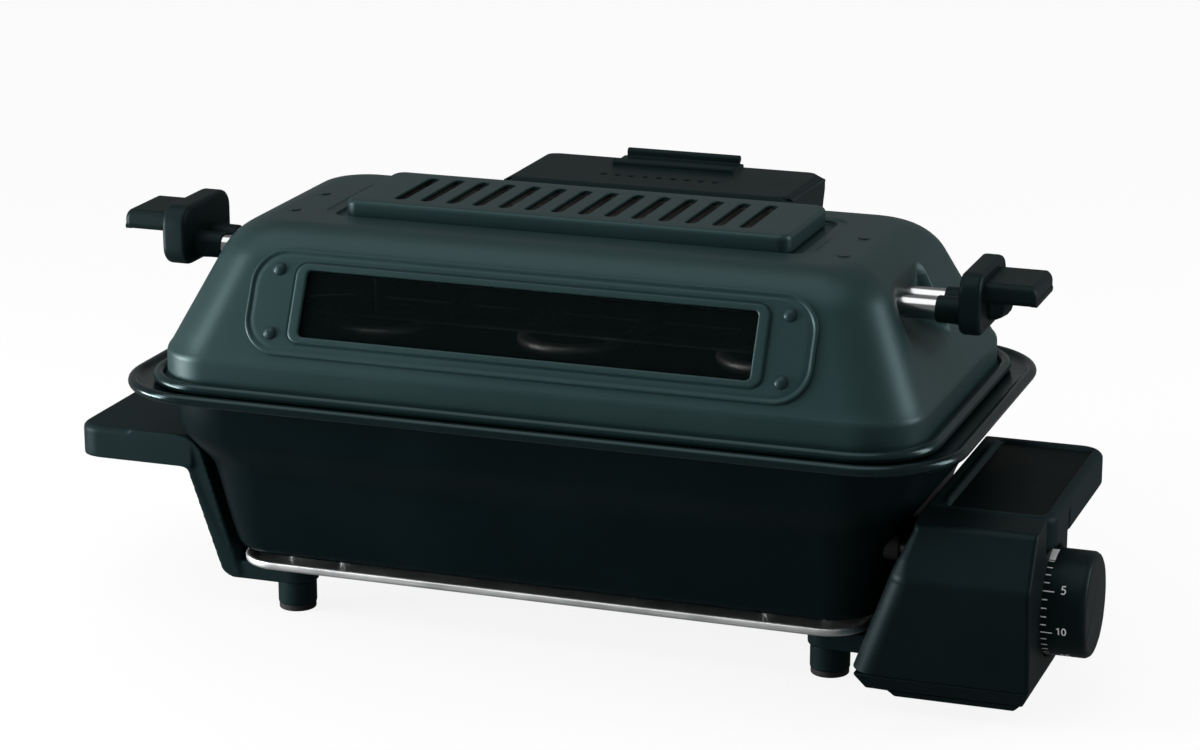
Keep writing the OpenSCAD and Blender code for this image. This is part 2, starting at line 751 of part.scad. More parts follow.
// outside of the lid from the top down: [z, inset from the wall's foot, corner radius]
lid_form = [
  [lid_top_z, 46, 16], [lid_top_z - 0.8, 40.5, 18], [lid_top_z - 2.8, 35, 20], [lid_top_z - 6, 30, 22],
  [lid_top_z - 10, 26, 24], [slope_z, slope_run + 1, 25], [step_z + 1, 1, 30], [step_z, 0.2, 30], [128, 0, 30]
];
function lid_rows(list) = [for (p = list) [p[0], lid_half_w - p[1], lid_half_d - p[1], p[2]]];

// where the middle of the sloping wall stands, for pieces fixed to it
wall_mid_z = 170;
function wall_y(z) = lid_half_d - 1 - (z - step_z - 1) * tan(wall_tilt);

// places a piece on the front wall: x across, y up the wall, z outwards
module on_front_wall() {
  translate([0, -wall_y(wall_mid_z), wall_mid_z]) rotate([90 - wall_tilt, 0, 0]) children();
}

// the same on the rear wall
module on_rear_wall() {
  rotate(180) on_front_wall() children();
}

module at_rods() {
  for (y = [-1, 1]) translate([0, rod_y + y * rod_pitch / 2, rod_z]) children();
}

module at_window_rivets() {
  for (x = [-1, 1], y = [-1, 1]) translate([x * 127.3, y * 15.7, 0]) children();
}

module at_grip_screws() {
  for (x = [-68, 68], y = [-20, -9]) translate([x, y, 0]) children();
}

// block that the flat pad's pocket fills, grown by t
module pad_pocket(t) {
  both_ends()
    block([pad_x - t, rod_y - pad_half_y - t, pad_z0 - t], [210, rod_y + pad_half_y + t, pad_z1 + t]);
}

module lid_shell() {
  foot = [[127.5, -1.45, 31.4], [126.7, -1.45, 31.4], [126.7, lid_t, 29]];
  inside = [for (p = lid_form) [p[0] - (p[0] > slope_z + 1 ? lid_t : 0), p[1] + lid_t, p[2] - lid_t]];
  color("#34484a") placed() difference() {
    skin(lid_rows(concat(lid_form, foot)));
    difference() {
      skin(lid_rows(concat([for (p = inside) if (p[0] > 128) p], [[120, lid_t, 29]])));
      pad_pocket(lid_t);
    }
    pad_pocket(0);
    on_front_wall() {
      translate([0, 0, -20]) linear_extrude(40) rounded_rect(pane_w + 6, pane_h + 4, 4);
      at_window_rivets() translate([0, 0, -10]) cylinder(r = 1.7, h = 20);
    }
    on_rear_wall() at_grip_screws() translate([0, 0, -8]) cylinder(r = 1.7, h = 16);
    for (s = [-1, 1], y = rivet_ys) translate([s * rivet_x, y, lid_top_z - 5]) cylinder(r = 1.7, h = 10);
    at_rods() rod_x(rod_dia / 2 + play, -180, 180);
    for (x = [-30, 30]) translate([x, 80, top_heater_z]) rotate([-90, 0, 0]) cylinder(r = 4.5, h = 30);
    translate([0, vent_y, lid_top_z - 10]) linear_extrude(20) rounded_rect(197, 53, 5);
  }
}

// rolled ring round the foot of the lid
module lid_ring() {
  color("#2b3a3c") placed() translate([0, 0, ring_z])
    around(lid_w / 2 - ring_tube_r, lid_d / 2 - ring_tube_r, ring_r - ring_tube_r)
      circle(ring_tube_r, $fn = 24);
}

// layers of the window, measured out from the wall's outer face
pane_t = 3;
frame_plate_t = 1.2;
retainer_t = 1.2;

module window_frame() {
  lip_h = 2.4;
  color("#34484a") placed() on_front_wall() difference() {
    union() {
      linear_extrude(frame_plate_t) rounded_rect(window_w, window_h, 12);
      linear_extrude(lip_h) rounded_rect(pane_w + 12, pane_h + 7, 6);
    }
    translate([0, 0, -5]) linear_extrude(20) rounded_rect(pane_w, pane_h, 2.5);
    at_window_rivets() translate([0, 0, -5]) cylinder(r = 1.7, h = 20);
  }
}

module window_glass() {
  color("#0d1213", 0.6) placed() on_front_wall() translate([0, 0, -pane_t])
    linear_extrude(pane_t) rounded_rect(pane_w + 5, pane_h + 3.4, 3);
}

// inner frame that clamps the glass against the outer one
module window_retainer() {
  w = window_w - 8;
  h = pane_h + 9;
  color("#2a3032") placed() on_front_wall() difference() {
    translate([0, 0, -pane_t - retainer_t]) linear_extrude(pane_t + retainer_t - lid_t) rounded_rect(w, h, 8);
    translate([0, 0, -pane_t]) linear_extrude(pane_t) rounded_rect(pane_w + 6, pane_h + 4, 3);
    translate([0, 0, -10]) linear_extrude(20) rounded_rect(pane_w - 1, pane_h - 1, 2.5);
    at_window_rivets() translate([0, 0, -10]) cylinder(r = 1.7, h = 20);
  }
}

// domed rivets through frame, wall and retainer
module window_rivets() {
  back_z = -pane_t - retainer_t;
  color("#3b5052") placed() on_front_wall() at_window_rivets() {
    translate([0, 0, back_z - 0.5]) cylinder(r = 1.6, h = frame_plate_t + 1 - back_z);
    translate([0, 0, back_z - 1.2]) cylinder(r = 2.6, h = 1.2);
    translate([0, 0, frame_plate_t]) rotate_extrude()
      polygon([[0, 0], [3.2, 0], [2.9, 0.9], [2, 1.6], [0.9, 1.95], [0, 2]]);
  }
}

// sheathed heater of the lid: to and fro behind the window, both ends through the rear wall
module upper_heater() {
  half_run = 2.5 * top_heater_pitch;
  y0 = -34;
  y1 = 45;
  back_y = 82;
  bend = 10;
  color("#6a7071") placed() translate([0, 0, top_heater_z]) {
    translate([top_heater_x, 0, 0]) serpentine(6, top_heater_pitch, y0, y1, top_heater_r);
    for (s = [-1, 1]) mirror([s > 0 ? 0 : 1, 0, 0]) {
      run_x = half_run + s * top_heater_x;
      translate([run_x, y1, 0]) rotate([-90, 0, 0]) cylinder(r = top_heater_r, h = back_y - bend - y1);
      translate([run_x - bend, back_y - bend, 0]) rotate_extrude(angle = 90)
        translate([bend, 0]) circle(top_heater_r);
      translate([0, back_y, 0]) rod_x(top_heater_r, 30 + bend, run_x - bend);
      translate([30 + bend, back_y + bend, 0]) rotate(180) rotate_extrude(angle = 90)
        translate([bend, 0]) circle(top_heater_r);
      translate([30, back_y + bend, 0]) rotate([-90, 0, 0]) cylinder(r = top_heater_r, h = 8);
    }
  }
}

// straps over the heater, hung from the lid's top
module upper_heater_clips() {
  strap_z = top_heater_z + top_heater_r;
  strap_t = 1.2;
  leg_x = 2 * top_heater_pitch;
  color("silver") placed() translate([top_heater_x, 0, 0]) for (y = [-40, 44]) {
    block([-130, y - 5, strap_z], [130, y + 5, strap_z + strap_t]);
    for (x = [-leg_x, leg_x - strap_t]) block([x, y - 5, strap_z], [x + strap_t, y + 5, lid_top_z - lid_t]);
  }
}

// polished rods of the lid handles
module handle_rods() {
  color("white") placed() both_ends() at_rods() rod_x(rod_dia / 2, rod_in_x, rod_end_x);
}

// angle plates riveted under the lid's top that hold the rods' inner ends
module rod_brackets() {
  top = lid_top_z - lid_t;
  color("silver") placed() both_ends() difference() {
    union() {
      block([rivet_x - 7, rod_y - 22, top - bracket_t], [rivet_x + 4, rod_y + 22, top]);
      block([rivet_x + 2.5, rod_y - 17, rod_z - 11], [rivet_x + 4, rod_y + 17, top]);
    }
    for (y = rivet_ys) translate([rivet_x, y, top - 5]) cylinder(r = 1.7, h = 10);
    at_rods() rod_x(rod_dia / 2 + play, 100, 160);
  }
}

module top_rivets() {
  head_z = lid_top_z - lid_t - bracket_t;
  color("#2b3a3c") placed() for (s = [-1, 1], y = rivet_ys) translate([s * rivet_x, y, 0]) {
    translate([0, 0, head_z - 1]) cylinder(r = 1.6, h = lid_top_z + 1 - head_z);
    translate([0, 0, head_z - 1.2]) cylinder(r = 2.6, h = 1.2);
    translate([0, 0, lid_top_z]) cylinder(r = 3, h = 0.5);
  }
}

// resin handle: heat plate with two sleeves inwards and a flat paddle outwards
module lid_handle(side) {
  plate_out = grip_in_x + grip_plate_t;
  color("#14191b") placed() mirror([side > 0 ? 0 : 1, 0, 0]) difference() {
    union() {
      translate([grip_in_x, grip_y, (grip_z0 + grip_z1) / 2]) rotate([90, 0, 90])
        linear_extrude(grip_plate_t) rounded_rect(grip_plate_w, grip_z1 - grip_z0, 9);
      translate([(plate_out + paddle_tip_x) / 2 - 1, grip_y, 0])
        slab(paddle_tip_x - plate_out + 2, paddle_w, 5, paddle_z0, paddle_z1);
      at_rods() rod_x(sleeve_r, sleeve_in_x, grip_in_x + 1);
      translate([0, grip_y, paddle_z0 - 2]) rod_x(8, plate_out - 1, plate_out + 9);
      block([plate_out - 1, grip_y - 1.5, grip_z0 + 4], [plate_out + 11, grip_y + 1.5, paddle_z0 + 1]);
    }
    at_rods() rod_x(rod_dia / 2 + play, 170, rod_end_x + 0.1);
  }
}

module left_lid_handle() { lid_handle(-1); }
module right_lid_handle() { lid_handle(1); }

// resin bridge behind the lid: hand hold above, hinge eyes below
module rear_grip() {
  wall_gap = 0.2;
  cheek = [[93, rear_top_z - 2], [93, 173], [wall_y(172) + wall_gap, 172], [wall_y(143) + wall_gap, 143],
    [106, 137.5], [hinge_y, hinge_z - hinge_eye_r + 1], [hinge_y + hinge_eye_r, hinge_z],
    [150, 184], [rear_y1 - 2.5, 190], [rear_y1 - 2.5, rear_top_z - 3]];
  color("#1c2527") placed() difference() {
    union() {
      translate([0, (rear_y0 + rear_y1) / 2, 0]) hull() {
        slab(2 * rear_half_w, rear_y1 - rear_y0, 5, rear_top_z - 5, rear_top_z - 3);
        slab(2 * rear_half_w - 8, rear_y1 - rear_y0 - 4, 6, rear_top_z - 1, rear_top_z);
      }
      both_ends() {
        side_plate(cheek, rear_half_w - cheek_t, rear_half_w);
        translate([0, hinge_y, hinge_z]) rod_x(hinge_eye_r, rear_half_w - cheek_t, rear_half_w);
        on_rear_wall() translate([60, -27, wall_gap]) cube([rear_half_w - 60 - 0.5, 26, 3]);
      }
      translate([0, rear_y1 - 18, 0]) {
        block([-33, -1, rear_top_z - 1], [33, 18, rear_top_z + 1.2]);
        translate([0, 0, rear_top_z + 1]) rod_x(2.2, -33, 33);
        translate([0, 18, rear_top_z + 3.5]) rod_x(2, -31, 31);
        block([-31, 16, rear_top_z - 1], [31, 18, rear_top_z + 3.5]);
      }
    }
    translate([0, (rear_y0 + rear_y1) / 2, 0])
      slab(2 * (rear_half_w - cheek_t) - 2, rear_y1 - rear_y0 + 20, 1, rear_top_z - 10, rear_top_z - 3);
    for (i = [-4:4]) translate([7.6 * i, 114, rear_top_z - 6]) cylinder(r = 1.7, h = 12);
    translate([0, hinge_y, hinge_z]) rod_x(hinge_r + play, -90, 90);
    on_rear_wall() at_grip_screws() translate([0, 0, -8]) cylinder(r = 1.7, h = 16);
  }
}

module grip_screws() {
  color("silver") placed() on_rear_wall() at_grip_screws() {
    translate([0, 0, -lid_t - 2.2]) cylinder(r = 3, h = 2.2);
    translate([0, 0, -lid_t - 0.5]) cylinder(r = 1.6, h = 4.5);
  }
}

// resin cap over the heater's ends
module terminal_cover() {
  outer = [[wall_y(144) + 0.2, 144], [111, 144], [111, 159], [wall_y(162) + 0.2, 162]];
  inner = [[80, 146], [109, 146], [109, 157.5], [80, 157.5]];
  color("#14191b") placed() difference() {
    side_plate(outer, -45, 45);
    side_plate(inner, -43, 43);
  }
}

// ---------- steam vent ----------

cage_depth = 14;          // how far the cage hangs below the lid's top
cage_lip_z = lid_top_z + 3.8;

module vent_cover() {
  h = 7.2;
  top_t = 2.2;
  slot_w = 6;
  slot_l = 48.5;
  pitch = 13.54;
  color("#34484a") placed() translate([0, vent_y, lid_top_z]) difference() {
    hull() {
      slab(vent_w, vent_d, 6, 0.05, h - 1.5);
      slab(vent_w - 3, vent_d - 3, 5, h - 1.5, h);
    }
    slab(vent_w - 6, vent_d - 6, 4, -1, h - top_t);
    for (i = [0:vent_slots - 1]) translate([(i - (vent_slots - 1) / 2) * pitch, 0, 0])
      linear_extrude(20) {
        square([slot_w, slot_l - slot_w], center = true);
        for (s = [-1, 1]) translate([0, s * (slot_l - slot_w) / 2]) circle(slot_w / 2);
      }
  }
}

// steel basket that clips under the cover and hangs through the lid's top
module filter_cage() {
  color("silver") placed() translate([0, vent_y, 0]) difference() {
    union() {
      slab(193, 49, 4, lid_top_z - cage_depth, cage_lip_z);
      slab(212, 56, 4, cage_lip_z, cage_lip_z + 1.2);
    }
    slab(191, 47, 3, lid_top_z - cage_depth + 1, lid_top_z + 10);
    slab(185, 41, 2, lid_top_z - 20, lid_top_z);
  }
}

// ceramic comb that clears the smoke
module catalyst_filter() {
  z0 = lid_top_z - cage_depth + 1;
  color("#7a6f5c") placed() translate([0, vent_y, 0]) slab(190.4, 46.4, 2.8, z0, z0 + 10);
}

heat_shield();
left_frame();
right_frame();
foot_posts();
foot_pads();
frame_screws();
tub();
tub_spacers();
drip_tray();
lower_heater();
lower_heater_clips();
heater_gland();
grill_net();
control_cover();
control_bottom();
handle_panel();
timer_unit();
timer_bell();
terminal_block();
lead_wires();
thermal_fuse();
cord_bush();
box_screws();
hinge_bracket();
hinge_pins();
hinge_screws();
timer_dial();
dial_shaft();
lid_shell();
lid_ring();
window_frame();
window_glass();
window_retainer();
window_rivets();
upper_heater();
upper_heater_clips();
handle_rods();
rod_brackets();
top_rivets();
left_lid_handle();
right_lid_handle();
rear_grip();
grip_screws();
terminal_cover();
vent_cover();
filter_cage();
catalyst_filter();
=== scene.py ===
import math

import bmesh
import bpy
from mathutils import Matrix, Vector


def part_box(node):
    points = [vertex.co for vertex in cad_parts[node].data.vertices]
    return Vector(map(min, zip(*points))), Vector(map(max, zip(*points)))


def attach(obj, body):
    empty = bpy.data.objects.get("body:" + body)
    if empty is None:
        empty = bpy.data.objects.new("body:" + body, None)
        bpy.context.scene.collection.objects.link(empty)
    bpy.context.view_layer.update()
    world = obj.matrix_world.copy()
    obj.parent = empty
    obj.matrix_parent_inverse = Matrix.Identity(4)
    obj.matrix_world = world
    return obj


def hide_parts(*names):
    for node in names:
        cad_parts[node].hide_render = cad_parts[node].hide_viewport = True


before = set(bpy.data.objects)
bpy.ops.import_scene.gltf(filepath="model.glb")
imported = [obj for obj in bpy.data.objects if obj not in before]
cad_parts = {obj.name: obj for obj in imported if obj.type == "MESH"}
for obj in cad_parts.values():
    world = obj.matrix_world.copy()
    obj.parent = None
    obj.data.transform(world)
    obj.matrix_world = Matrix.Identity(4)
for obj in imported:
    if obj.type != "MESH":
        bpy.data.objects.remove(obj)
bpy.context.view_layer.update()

# --------------------------------------------------------------------
# Camera: a long lens a little above the bench, turned towards the timer box. Its place was
# solved from the straight and level edges of the real roaster.
scene = bpy.context.scene
towards_camera = Vector((0.3214, -0.9055, 0.2770))
lens = bpy.data.cameras.new("camera")
lens.sensor_width = 36
lens.lens = 105.3
camera = bpy.data.objects.new("camera", lens)
camera.location = (0.55365, -1.58220, 0.60140)
camera.rotation_euler = (-towards_camera).to_track_quat("-Z", "Y").to_euler()
scene.collection.objects.link(camera)
scene.camera = camera

# --------------------------------------------------------------------
# Studio: a white sweep under an even sky, a broad light overhead, a tall soft box at each side
# for the long highlights on the rounded corners, and a low card for the timer box's edge.
scene.view_settings.view_transform = "Standard"


class Flow:
    """A value, colour or vector on its way through a material."""

    def __init__(self, tree, socket=None):
        self.tree = tree
        self.socket = socket

    def node(self, kind, settings, sockets, out=0):
        made = self.tree.nodes.new("ShaderNode" + kind)
        for name, value in settings.items():
            setattr(made, name, value)
        for name, value in sockets.items():
            if isinstance(value, Flow):
                self.tree.links.new(value.socket, made.inputs[name])
            else:
                made.inputs[name].default_value = value
        return Flow(self.tree, made.outputs[out]) if made.outputs else None

    def maths(self, operation, first, second):
        return self.node("Math", {"operation": operation}, {0: first, 1: second})

    def __add__(self, other):
        return self.maths("ADD", self, other)

    def __radd__(self, other):
        return self.maths("ADD", other, self)

    def __sub__(self, other):
        return self.maths("SUBTRACT", self, other)

    def __rsub__(self, other):
        return self.maths("SUBTRACT", other, self)

    def __mul__(self, other):
        return self.maths("MULTIPLY", self, other)

    def __rmul__(self, other):
        return self.maths("MULTIPLY", other, self)

    def clamped(self, low, high):
        """0 below low and 1 above high, with a soft step between."""
        return self.node("MapRange", {"interpolation_type": "SMOOTHSTEP"},
                         {"Value": self, "From Min": low, "From Max": high})

    def blend(self, first, second):
        """The colour first where this value is 0 and second where it is 1."""
        return self.node("Mix", {"data_type": "RGBA"}, {0: self, 6: first, 7: second}, 2)


def rgb(red, green, blue):
    return red, green, blue, 1.0


sky_level = 0.3
mirror_level = 0.22
world = bpy.data.worlds.new("sky")
world.use_nodes = True
world.node_tree.nodes.clear()
sky = Flow(world.node_tree)
seen = sky.node("LightPath", {}, {}, "Is Camera Ray")
mirrored = sky.node("LightPath", {}, {}, "Is Glossy Ray")
through_glass = sky.node("LightPath", {}, {}, "Is Transmission Ray")
backdrop = (seen + mirrored + through_glass).clamped(0, 1)
shown = mirrored.blend(rgb(1, 1, 1), rgb(mirror_level, mirror_level, mirror_level))
level = backdrop.blend(rgb(sky_level, sky_level, sky_level), shown)
sky.node("OutputWorld", {}, {"Surface": sky.node("Background", {}, {"Color": level})})
scene.world = world


def begin(name):
    """An empty material and the place of each point on its piece, in metres."""
    material = bpy.data.materials.new(name)
    material.use_nodes = True
    material.node_tree.nodes.clear()
    return material, Flow(material.node_tree).node("TexCoord", {}, {}, "Object")


def shade(place, sockets):
    """Closes a material with its shader."""
    place.node("OutputMaterial", {}, {"Surface": place.node("BsdfPrincipled", {}, sockets)})


def noise(place, size, detail=2.0, stretch=(1, 1, 1)):
    """Noise whose spots are about size metres across, drawn out along an axis by stretch."""
    scale = [1 / (size * s) for s in stretch]
    spot = place.node("Mapping", {}, {"Vector": place, "Scale": scale})
    return spot.node("TexNoise", {}, {"Vector": spot, "Scale": 1.0, "Detail": detail})


floor_material, place = begin("floor_paper")
paper = noise(place, 0.6, 3).blend(rgb(0.8, 0.8, 0.8), rgb(0.84, 0.84, 0.84))
sheet = place.node("BsdfPrincipled", {}, {"Base Color": paper, "Roughness": 0.9,
                                          "Specular IOR Level": 0.1})
floor_seen = place.node("LightPath", {}, {}, "Is Camera Ray")
floor_mirrored = place.node("LightPath", {}, {}, "Is Glossy Ray")
glow = floor_mirrored.blend(rgb(1, 1, 1), rgb(0.08, 0.08, 0.08))
white = place.node("Emission", {}, {"Color": glow, "Strength": 1.0})
glow_share = 0.88       # the rest is lit paper, which keeps the shadow
floor_backdrop = (floor_seen + floor_mirrored).clamped(0, 1) * glow_share
sweep = place.node("MixShader", {}, {0: floor_backdrop, 1: sheet, 2: white})
place.node("OutputMaterial", {}, {"Surface": sweep})

floor_mesh = bpy.data.meshes.new("floor")
reach = 14              # metres from the middle to the floor's edge
corners = [(-reach, -reach, 0), (reach, -reach, 0), (reach, reach, 0), (-reach, reach, 0)]
floor_mesh.from_pydata(corners, [], [(0, 1, 2, 3)])
floor_mesh.materials.append(floor_material)
floor = bpy.data.objects.new("floor", floor_mesh)
scene.collection.objects.link(floor)


def lamp(name, kind, strength, place, target, **settings):
    light = bpy.data.lights.new(name, kind)
    light.energy = strength
    for key, value in settings.items():
        setattr(light, key, value)
    stand = bpy.data.objects.new(name, light)
    stand.location = place
    aim = Vector(target) - Vector(place)
    stand.rotation_euler = aim.to_track_quat("-Z", "Y").to_euler()
    scene.collection.objects.link(stand)


lamp("overhead_light", "SUN", 1.4, (-0.5, -0.45, 2.1), (0, 0, 0), angle=math.radians(60))
lamp("left_soft_box", "AREA", 13.5, (-1.3, -0.75, 0.5), (0, 0, 0.12),
     shape="RECTANGLE", size=0.35, size_y=0.9)
lamp("right_soft_box", "AREA", 11, (1.3, 0.35, 0.55), (0, 0, 0.12),
     shape="RECTANGLE", size=0.45, size_y=0.9)
lamp("low_left_card", "AREA", 9, (-0.85, -0.36, 0.1), (0.15, -0.08, 0.05),
     shape="RECTANGLE", size=0.4, size_y=0.2)

# --------------------------------------------------------------------
# Heat shield: a pressed plate of aluminised steel sheet with a folded rim, screwed on top of
# the foot bosses. It keeps its mill finish, so it is bright and drawn along its length.


def edges(place, radius):
    """1 on the sharp edges of a piece and 0 on its flats."""
    soft = place.node("Bevel", {"samples": 4}, {"Radius": radius})
    hard = place.node("NewGeometry", {}, {}, "Normal")
    same = soft.node("VectorMath", {"operation": "DOT_PRODUCT"}, {0: soft, 1: hard}, "Value")
    return (1 - same).clamped(0.02, 0.3)


def bump(height, strength, depth):
    return height.node("Bump", {}, {"Height": height, "Strength": strength, "Distance": depth})


def sheet_steel(name, dark, light, rough, along=(60, 1, 1)):
    """Bare sheet or bar with the fine lines that rolling or grinding leaves."""
    material, place = begin(name)
    lines = noise(place, 0.0004, 3, along)
    cloud = noise(place, 0.02, 3)
    mark = (lines * 0.6 + cloud * 0.5).clamped(0.3, 0.85)
    shade(place, {"Base Color": mark.blend(dark, light), "Metallic": 1.0,
                  "Roughness": rough + (lines - 0.5) * 0.25 + (cloud - 0.5) * 0.2,
                  "Normal": bump(lines, 0.25, 0.00008)})
    return material


def cad_copy(node):
    """A new mesh on the lines of a CAD node, its flat faces whole."""
    bm = bmesh.new()
    bm.from_mesh(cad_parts[node].data)
    bmesh.ops.remove_doubles(bm, verts=bm.verts, dist=1e-6)
    bmesh.ops.dissolve_limit(bm, angle_limit=math.radians(0.4), verts=bm.verts, edges=bm.edges)
    mesh = bpy.data.meshes.new(node)
    index = {v: i for i, v in enumerate(bm.verts)}
    mesh.from_pydata([v.co for v in bm.verts], [], [[index[v] for v in f.verts] for f in bm.faces])
    bm.free()
    return mesh


def shade_evenly(piece, sharp=0):
    """Lets large faces lead the shading; edges that turn more than sharp degrees stay crisp."""
    normals = piece.modifiers.new("even_shading", "WEIGHTED_NORMAL")
    if sharp:
        piece.data.set_sharp_from_angle(angle=math.radians(sharp))
        normals.keep_sharp = True


def soften(piece, width, steps=3, turn=35):
    """Rounds the edges that turn more than turn degrees."""
    bevel = piece.modifiers.new("rounded_edges", "BEVEL")
    bevel.width = width
    bevel.segments = steps
    bevel.limit_method = "ANGLE"
    bevel.angle_limit = math.radians(turn)
    bevel.use_clamp_overlap = False
    bevel.miter_outer = "MITER_ARC"
    shade_evenly(piece, turn)


def piece_of(name, mesh, material, body, slot, *nodes):
    """Puts a mesh in the scene as a piece that stands for some CAD nodes."""
    piece = bpy.data.objects.new(name, mesh)
    scene.collection.objects.link(piece)
    mesh.materials.append(material)
    mesh.shade_smooth()
    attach(piece, body)
    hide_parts(*nodes)
    return piece


def moulded(node, material, body, slot, width, steps=3, turn=35):
    """A CAD node's own shape with rounded edges, in its place."""
    piece = piece_of(node + "_piece", cad_copy(node), material, body, slot, node)
    soften(piece, width, steps, turn)
    return piece


def dress(material, *nodes):
    """Gives CAD nodes whose shape is right their finish."""
    for node in nodes:
        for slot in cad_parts[node].material_slots:
            slot.link = "OBJECT"
            slot.material = material


plate_steel = sheet_steel("aluminised_sheet", rgb(0.72, 0.75, 0.75), rgb(0.96, 0.98, 0.98), 0.42)
shield_low, shield_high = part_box("heat_shield")
shield_middle = (shield_low + shield_high) / 2
shield_half_w = (shield_high.x - shield_low.x) * 500
shield_half_d = (shield_high.y - shield_low.y) * 500


def rounded_rectangle(half_w, half_d, radius, steps=12):
    """Flat points round a rounded rectangle, anticlockwise from its right side."""
    points = []
    for quarter in range(4):
        side_x = 1 if quarter in (0, 3) else -1
        side_y = 1 if quarter < 2 else -1
        for k in range(steps + 1):
            angle = math.radians(90 * (quarter + k / steps))
            points.append((side_x * (half_w - radius) + radius * math.cos(angle),
                           side_y * (half_d - radius) + radius * math.sin(angle)))
    return points


def loft(name, rings, cap_first=False, cap_last=False):
    """A mesh whose skin runs from ring to ring."""
    bm = bmesh.new()
    loops = [[bm.verts.new(p) for p in points] for points in rings]
    for low, high in zip(loops, loops[1:]):
        for i in range(len(low)):
            j = (i + 1) % len(low)
            bm.faces.new((low[i], low[j], high[j], high[i]))
    if cap_first:
        bm.faces.new(reversed(loops[0]))
    if cap_last:
        bm.faces.new(loops[-1])
    bmesh.ops.recalc_face_normals(bm, faces=bm.faces)
    mesh = bpy.data.meshes.new(name)
    bm.to_mesh(mesh)
    bm.free()
    return mesh


def fold_dents(x, y):
    """Small puckers where the rim was folded round a corner, in millimetres."""
    corner = max(0, abs(x) - shield_half_w + 24) * max(0, abs(y) - shield_half_d + 24) / 300
    return 0.28 * corner * math.sin(x * 0.9 + y * 0.7) * math.sin(y * 1.3 - x * 0.4)


# rim from the middle of the underside round to the top: inset from the outer edge, and height
shield_rim = [(9, 28), (1.6, 28), (0.7, 28.2), (0.2, 28.7), (0, 29.4), (0, 31), (0.15, 31.6),
              (0.6, 31.95), (1.3, 32), (1.9, 31.8), (2.3, 31.2), (2.45, 30.4), (2.7, 29.5),
              (3.6, 29.05), (9, 29)]
shield_rings = []
for inset, z in shield_rim:
    loop = rounded_rectangle(shield_half_w - inset, shield_half_d - inset, 21 - inset)
    shield_rings.append([Vector((shield_middle.x + x / 1000, shield_middle.y + y / 1000,
                                 (z - max(0, fold_dents(x, y)) * (z > 30)) / 1000)) for x, y in loop])
shield = piece_of("heat_shield_plate", loft("heat_shield", shield_rings, True, True), plate_steel,
                  "base", "plate_steel", "heat_shield")
shade_evenly(shield)

# --------------------------------------------------------------------
# Stand: two moulded resin frames, each a hollow handle on two arms that lean in to the foot
# bars, with fine spark-eroded grain. The posts below stand on rubber pads and hide the screws.


cool_tint = rgb(0.6, 0.95, 1.0)


def resin(name, colour, grain, rough, shine=0.16):
    """Moulded resin: fine tool grain, faint flow clouds and edges rubbed a little smoother."""
    material, place = begin(name)
    grain_spots = noise(place, grain, 3)
    cloud = noise(place, 0.035, 3)
    rubbed = edges(place, 0.0007)
    lighter = rgb(*[c * 2.2 for c in colour])
    tone = (grain_spots * 0.35 + cloud * 0.4 + rubbed * 0.45).clamped(0.2, 1.1)
    shade(place, {"Base Color": tone.blend(rgb(*colour), lighter),
                  "Roughness": rough + (cloud - 0.5) * 0.14 + (grain_spots - 0.5) * 0.12 - rubbed * 0.12,
                  "Specular IOR Level": shine, "Specular Tint": cool_tint,
                  "Normal": bump(grain_spots, 0.35, grain * 0.18)})
    return material


def rubber(name):
    material, place = begin(name)
    dust = noise(place, 0.0012, 4)
    tone = dust.clamped(0.35, 0.8).blend(rgb(0.008, 0.008, 0.008), rgb(0.022, 0.023, 0.022))
    shade(place, {"Base Color": tone,
                  "Roughness": 0.72 + (dust - 0.5) * 0.2, "Specular IOR Level": 0.25,
                  "Normal": bump(dust, 0.4, 0.0001)})
    return material


stand_resin = resin("stand_resin", (0.004, 0.0095, 0.0105), 0.00035, 0.5, 0.07)
screw_steel = sheet_steel("zinc_plate", rgb(0.4, 0.4, 0.41), rgb(0.62, 0.62, 0.63), 0.32, (6, 6, 1))
tub_low, tub_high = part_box("tub")
tub_middle = (tub_low + tub_high) / 2


def at(x, y, z):
    """A point given in millimetres from the middle of the tub, up from the bench."""
    return Vector((tub_middle.x + x / 1000, tub_middle.y + y / 1000, z / 1000))


def rounded_path(points, radii, steps=6):
    """An open path through points, each inner corner turned into an arc of its radius."""
    path = [Vector(points[0])]
    for before, corner, after, radius in zip(points, points[1:], points[2:], radii):
        corner = Vector(corner)
        into = (corner - Vector(before)).normalized()
        out = (Vector(after) - corner).normalized()
        turn = math.atan2(into.x * out.y - into.y * out.x, into.dot(out))
        start = corner - into * radius * math.tan(abs(turn) / 2)
        centre = start + Vector((-into.y, into.x)) * math.copysign(radius, turn)
        path += [centre + Matrix.Rotation(turn * k / steps, 2) @ (start - centre)
                 for k in range(steps + 1)]
    return path + [Vector(points[-1])]


def joined(name, meshes):
    """One mesh made of several."""
    bm = bmesh.new()
    for mesh in meshes:
        bm.from_mesh(mesh)
    result = bpy.data.meshes.new(name)
    bm.to_mesh(result)
    bm.free()
    return result


def fuse(piece, grain, rounds):
    """Runs the shells of a piece into one moulding whose edges and corners are softened."""
    merge = piece.modifiers.new("one_moulding", "REMESH")
    merge.mode = "VOXEL"
    merge.voxel_size = grain
    merge.use_smooth_shade = True
    melt = piece.modifiers.new("soft_edges", "SMOOTH")
    melt.factor = 0.5
    melt.iterations = rounds


